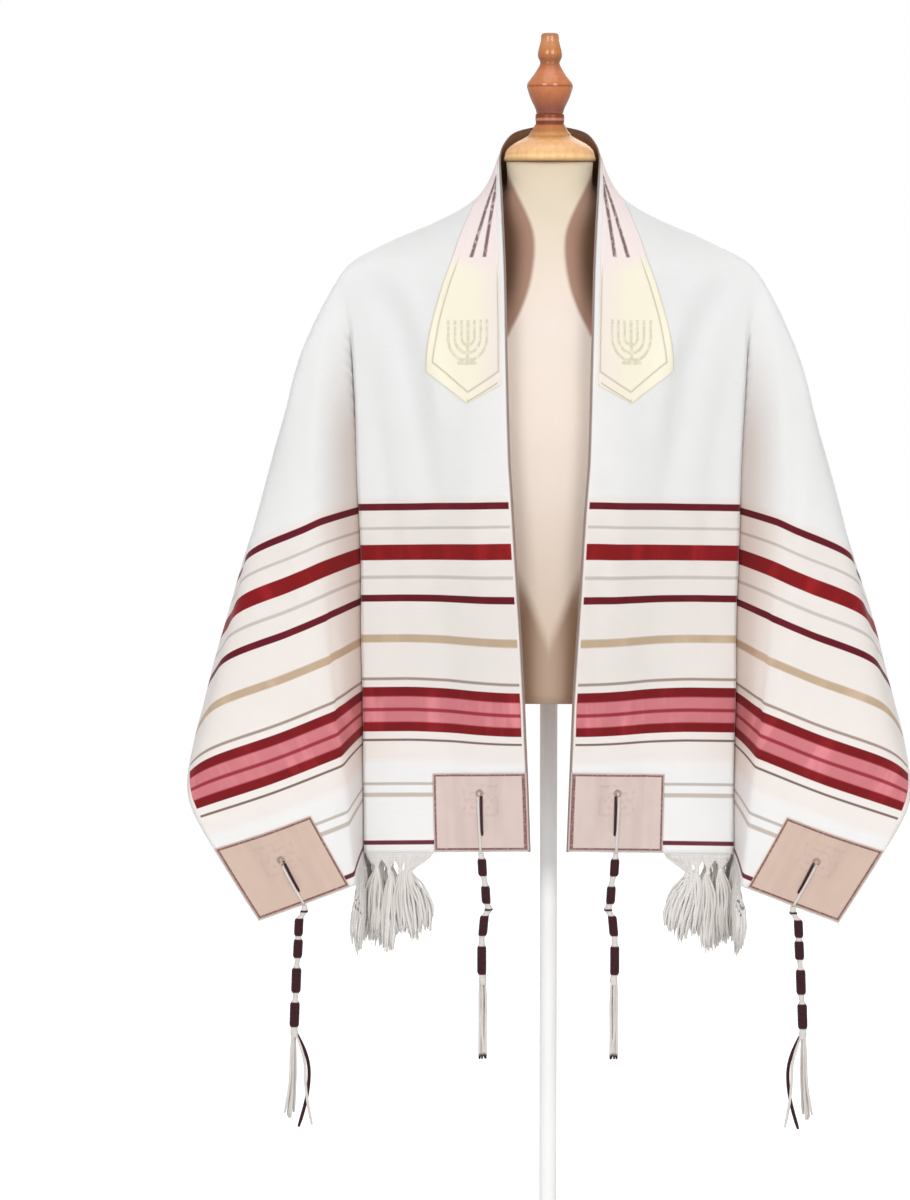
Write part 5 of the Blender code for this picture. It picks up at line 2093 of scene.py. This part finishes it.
OUTER_ROWS = (
    (0.002, 0.0, 0.0034, 0.0026), (0.005, 0.0, 0.0034, 0.0032), (0.0068, 0.0, 0.0048, 0.0046),
    (0.0095, 0.001, 0.0038, 0.0038), (0.013, 0.004, 0.0032, 0.0032), (0.0154, 0.006, 0.0046, 0.0046),
    (0.0344, 0.007, 0.0046, 0.0046), (0.0358, 0.007, 0.003, 0.003), (0.038, 0.007, 0.003, 0.003),
    (0.0395, 0.007, 0.0048, 0.0046), (0.0594, 0.008, 0.0048, 0.0046), (0.0612, 0.008, 0.003, 0.003),
    (0.0705, 0.009, 0.003, 0.003), (0.0722, 0.009, 0.005, 0.0048), (0.099, 0.01, 0.0049, 0.0048),
    (0.1008, 0.01, 0.003, 0.003), (0.1092, 0.011, 0.003, 0.003), (0.111, 0.011, 0.005, 0.0048),
    (0.1382, 0.012, 0.0049, 0.0048), (0.1398, 0.012, 0.0034, 0.0034), (0.142, 0.012, 0.0042, 0.004),
    (0.1455, 0.012, 0.0047, 0.0042), (0.149, 0.012, 0.0042, 0.0034), (0.151, 0.012, 0.0034, 0.0026),
)
OUTER_DARK = ((0.0058, 0.0082), (0.0148, 0.035), (0.0388, 0.06), (0.0714, 0.0996), (0.1104, 0.1388))
# Loose ends: outward lean at the start, the widest place and the end, share of the length, dark tip.
INNER_FAN = (
    (-0.003, -0.004, -0.0042, 1.0, 1.0), (-0.0012, -0.002, -0.0026, 0.99, 1.0),
    (0.0, -0.0004, 0.0, 1.0, 1.0), (0.0014, 0.0014, 0.0014, 0.98, 1.0),
    (0.003, 0.003, 0.0026, 1.0, 1.0), (-0.002, -0.0016, -0.0012, 0.97, 1.0),
    (0.0006, 0.0008, -0.0034, 0.99, 1.0), (0.002, 0.0022, 0.003, 0.98, 1.0),
)
OUTER_FAN = (
    (0.002, 0.004, 0.0108, 0.84, 0.0), (0.001, 0.0026, 0.0085, 0.88, 0.0),
    (0.0, 0.001, 0.006, 0.86, 0.0), (0.0014, 0.003, 0.0072, 0.9, 0.0),
    (0.0005, 0.0012, 0.004, 0.89, 0.0), (-0.0008, -0.0008, 0.0012, 0.84, 0.0),
    (-0.0022, -0.0125, -0.02, 0.97, 0.0), (-0.003, -0.0165, -0.004, 1.0, 1.0),
)


def main() -> None:
    logging.basicConfig(level=logging.INFO, format="%(message)s")
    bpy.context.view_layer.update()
    drape = Drape()
    shawl = Shawl(drape).build()
    band = Neckband(drape)
    neckband = band.build()
    LOG.info("shawl and neckband: %d faces", len(shawl.data.polygons) + len(neckband.data.polygons))
    hangings = []
    for side in Side:
        fringe = Fringe(drape, side).build()
        hangings.append(fringe)
        LOG.info("%s: %d faces", fringe.name, len(fringe.data.polygons))
        for corner in Corner:
            patch = CornerPatch(drape, side, corner)
            satin, eyelet = patch.build()
            inner = corner is Corner.INNER
            cord = Tzitzit(
                patch,
                rows=INNER_ROWS if inner else OUTER_ROWS,
                dark=INNER_DARK if inner else OUTER_DARK,
                ends=0.088 if inner else 0.107,
                fan=INNER_FAN if inner else OUTER_FAN,
                dark_ends=(5,) if inner else (7,),
            ).build()
            hangings += [eyelet, cord]
            LOG.info("%s: %d faces", cord.name, len(cord.data.polygons))
    for piece in DressForm().build() + Stand().build():
        LOG.info("%s: %d faces", piece.name, len(piece.data.polygons))
    Studio().build()


if __name__ == "__main__":
    main()
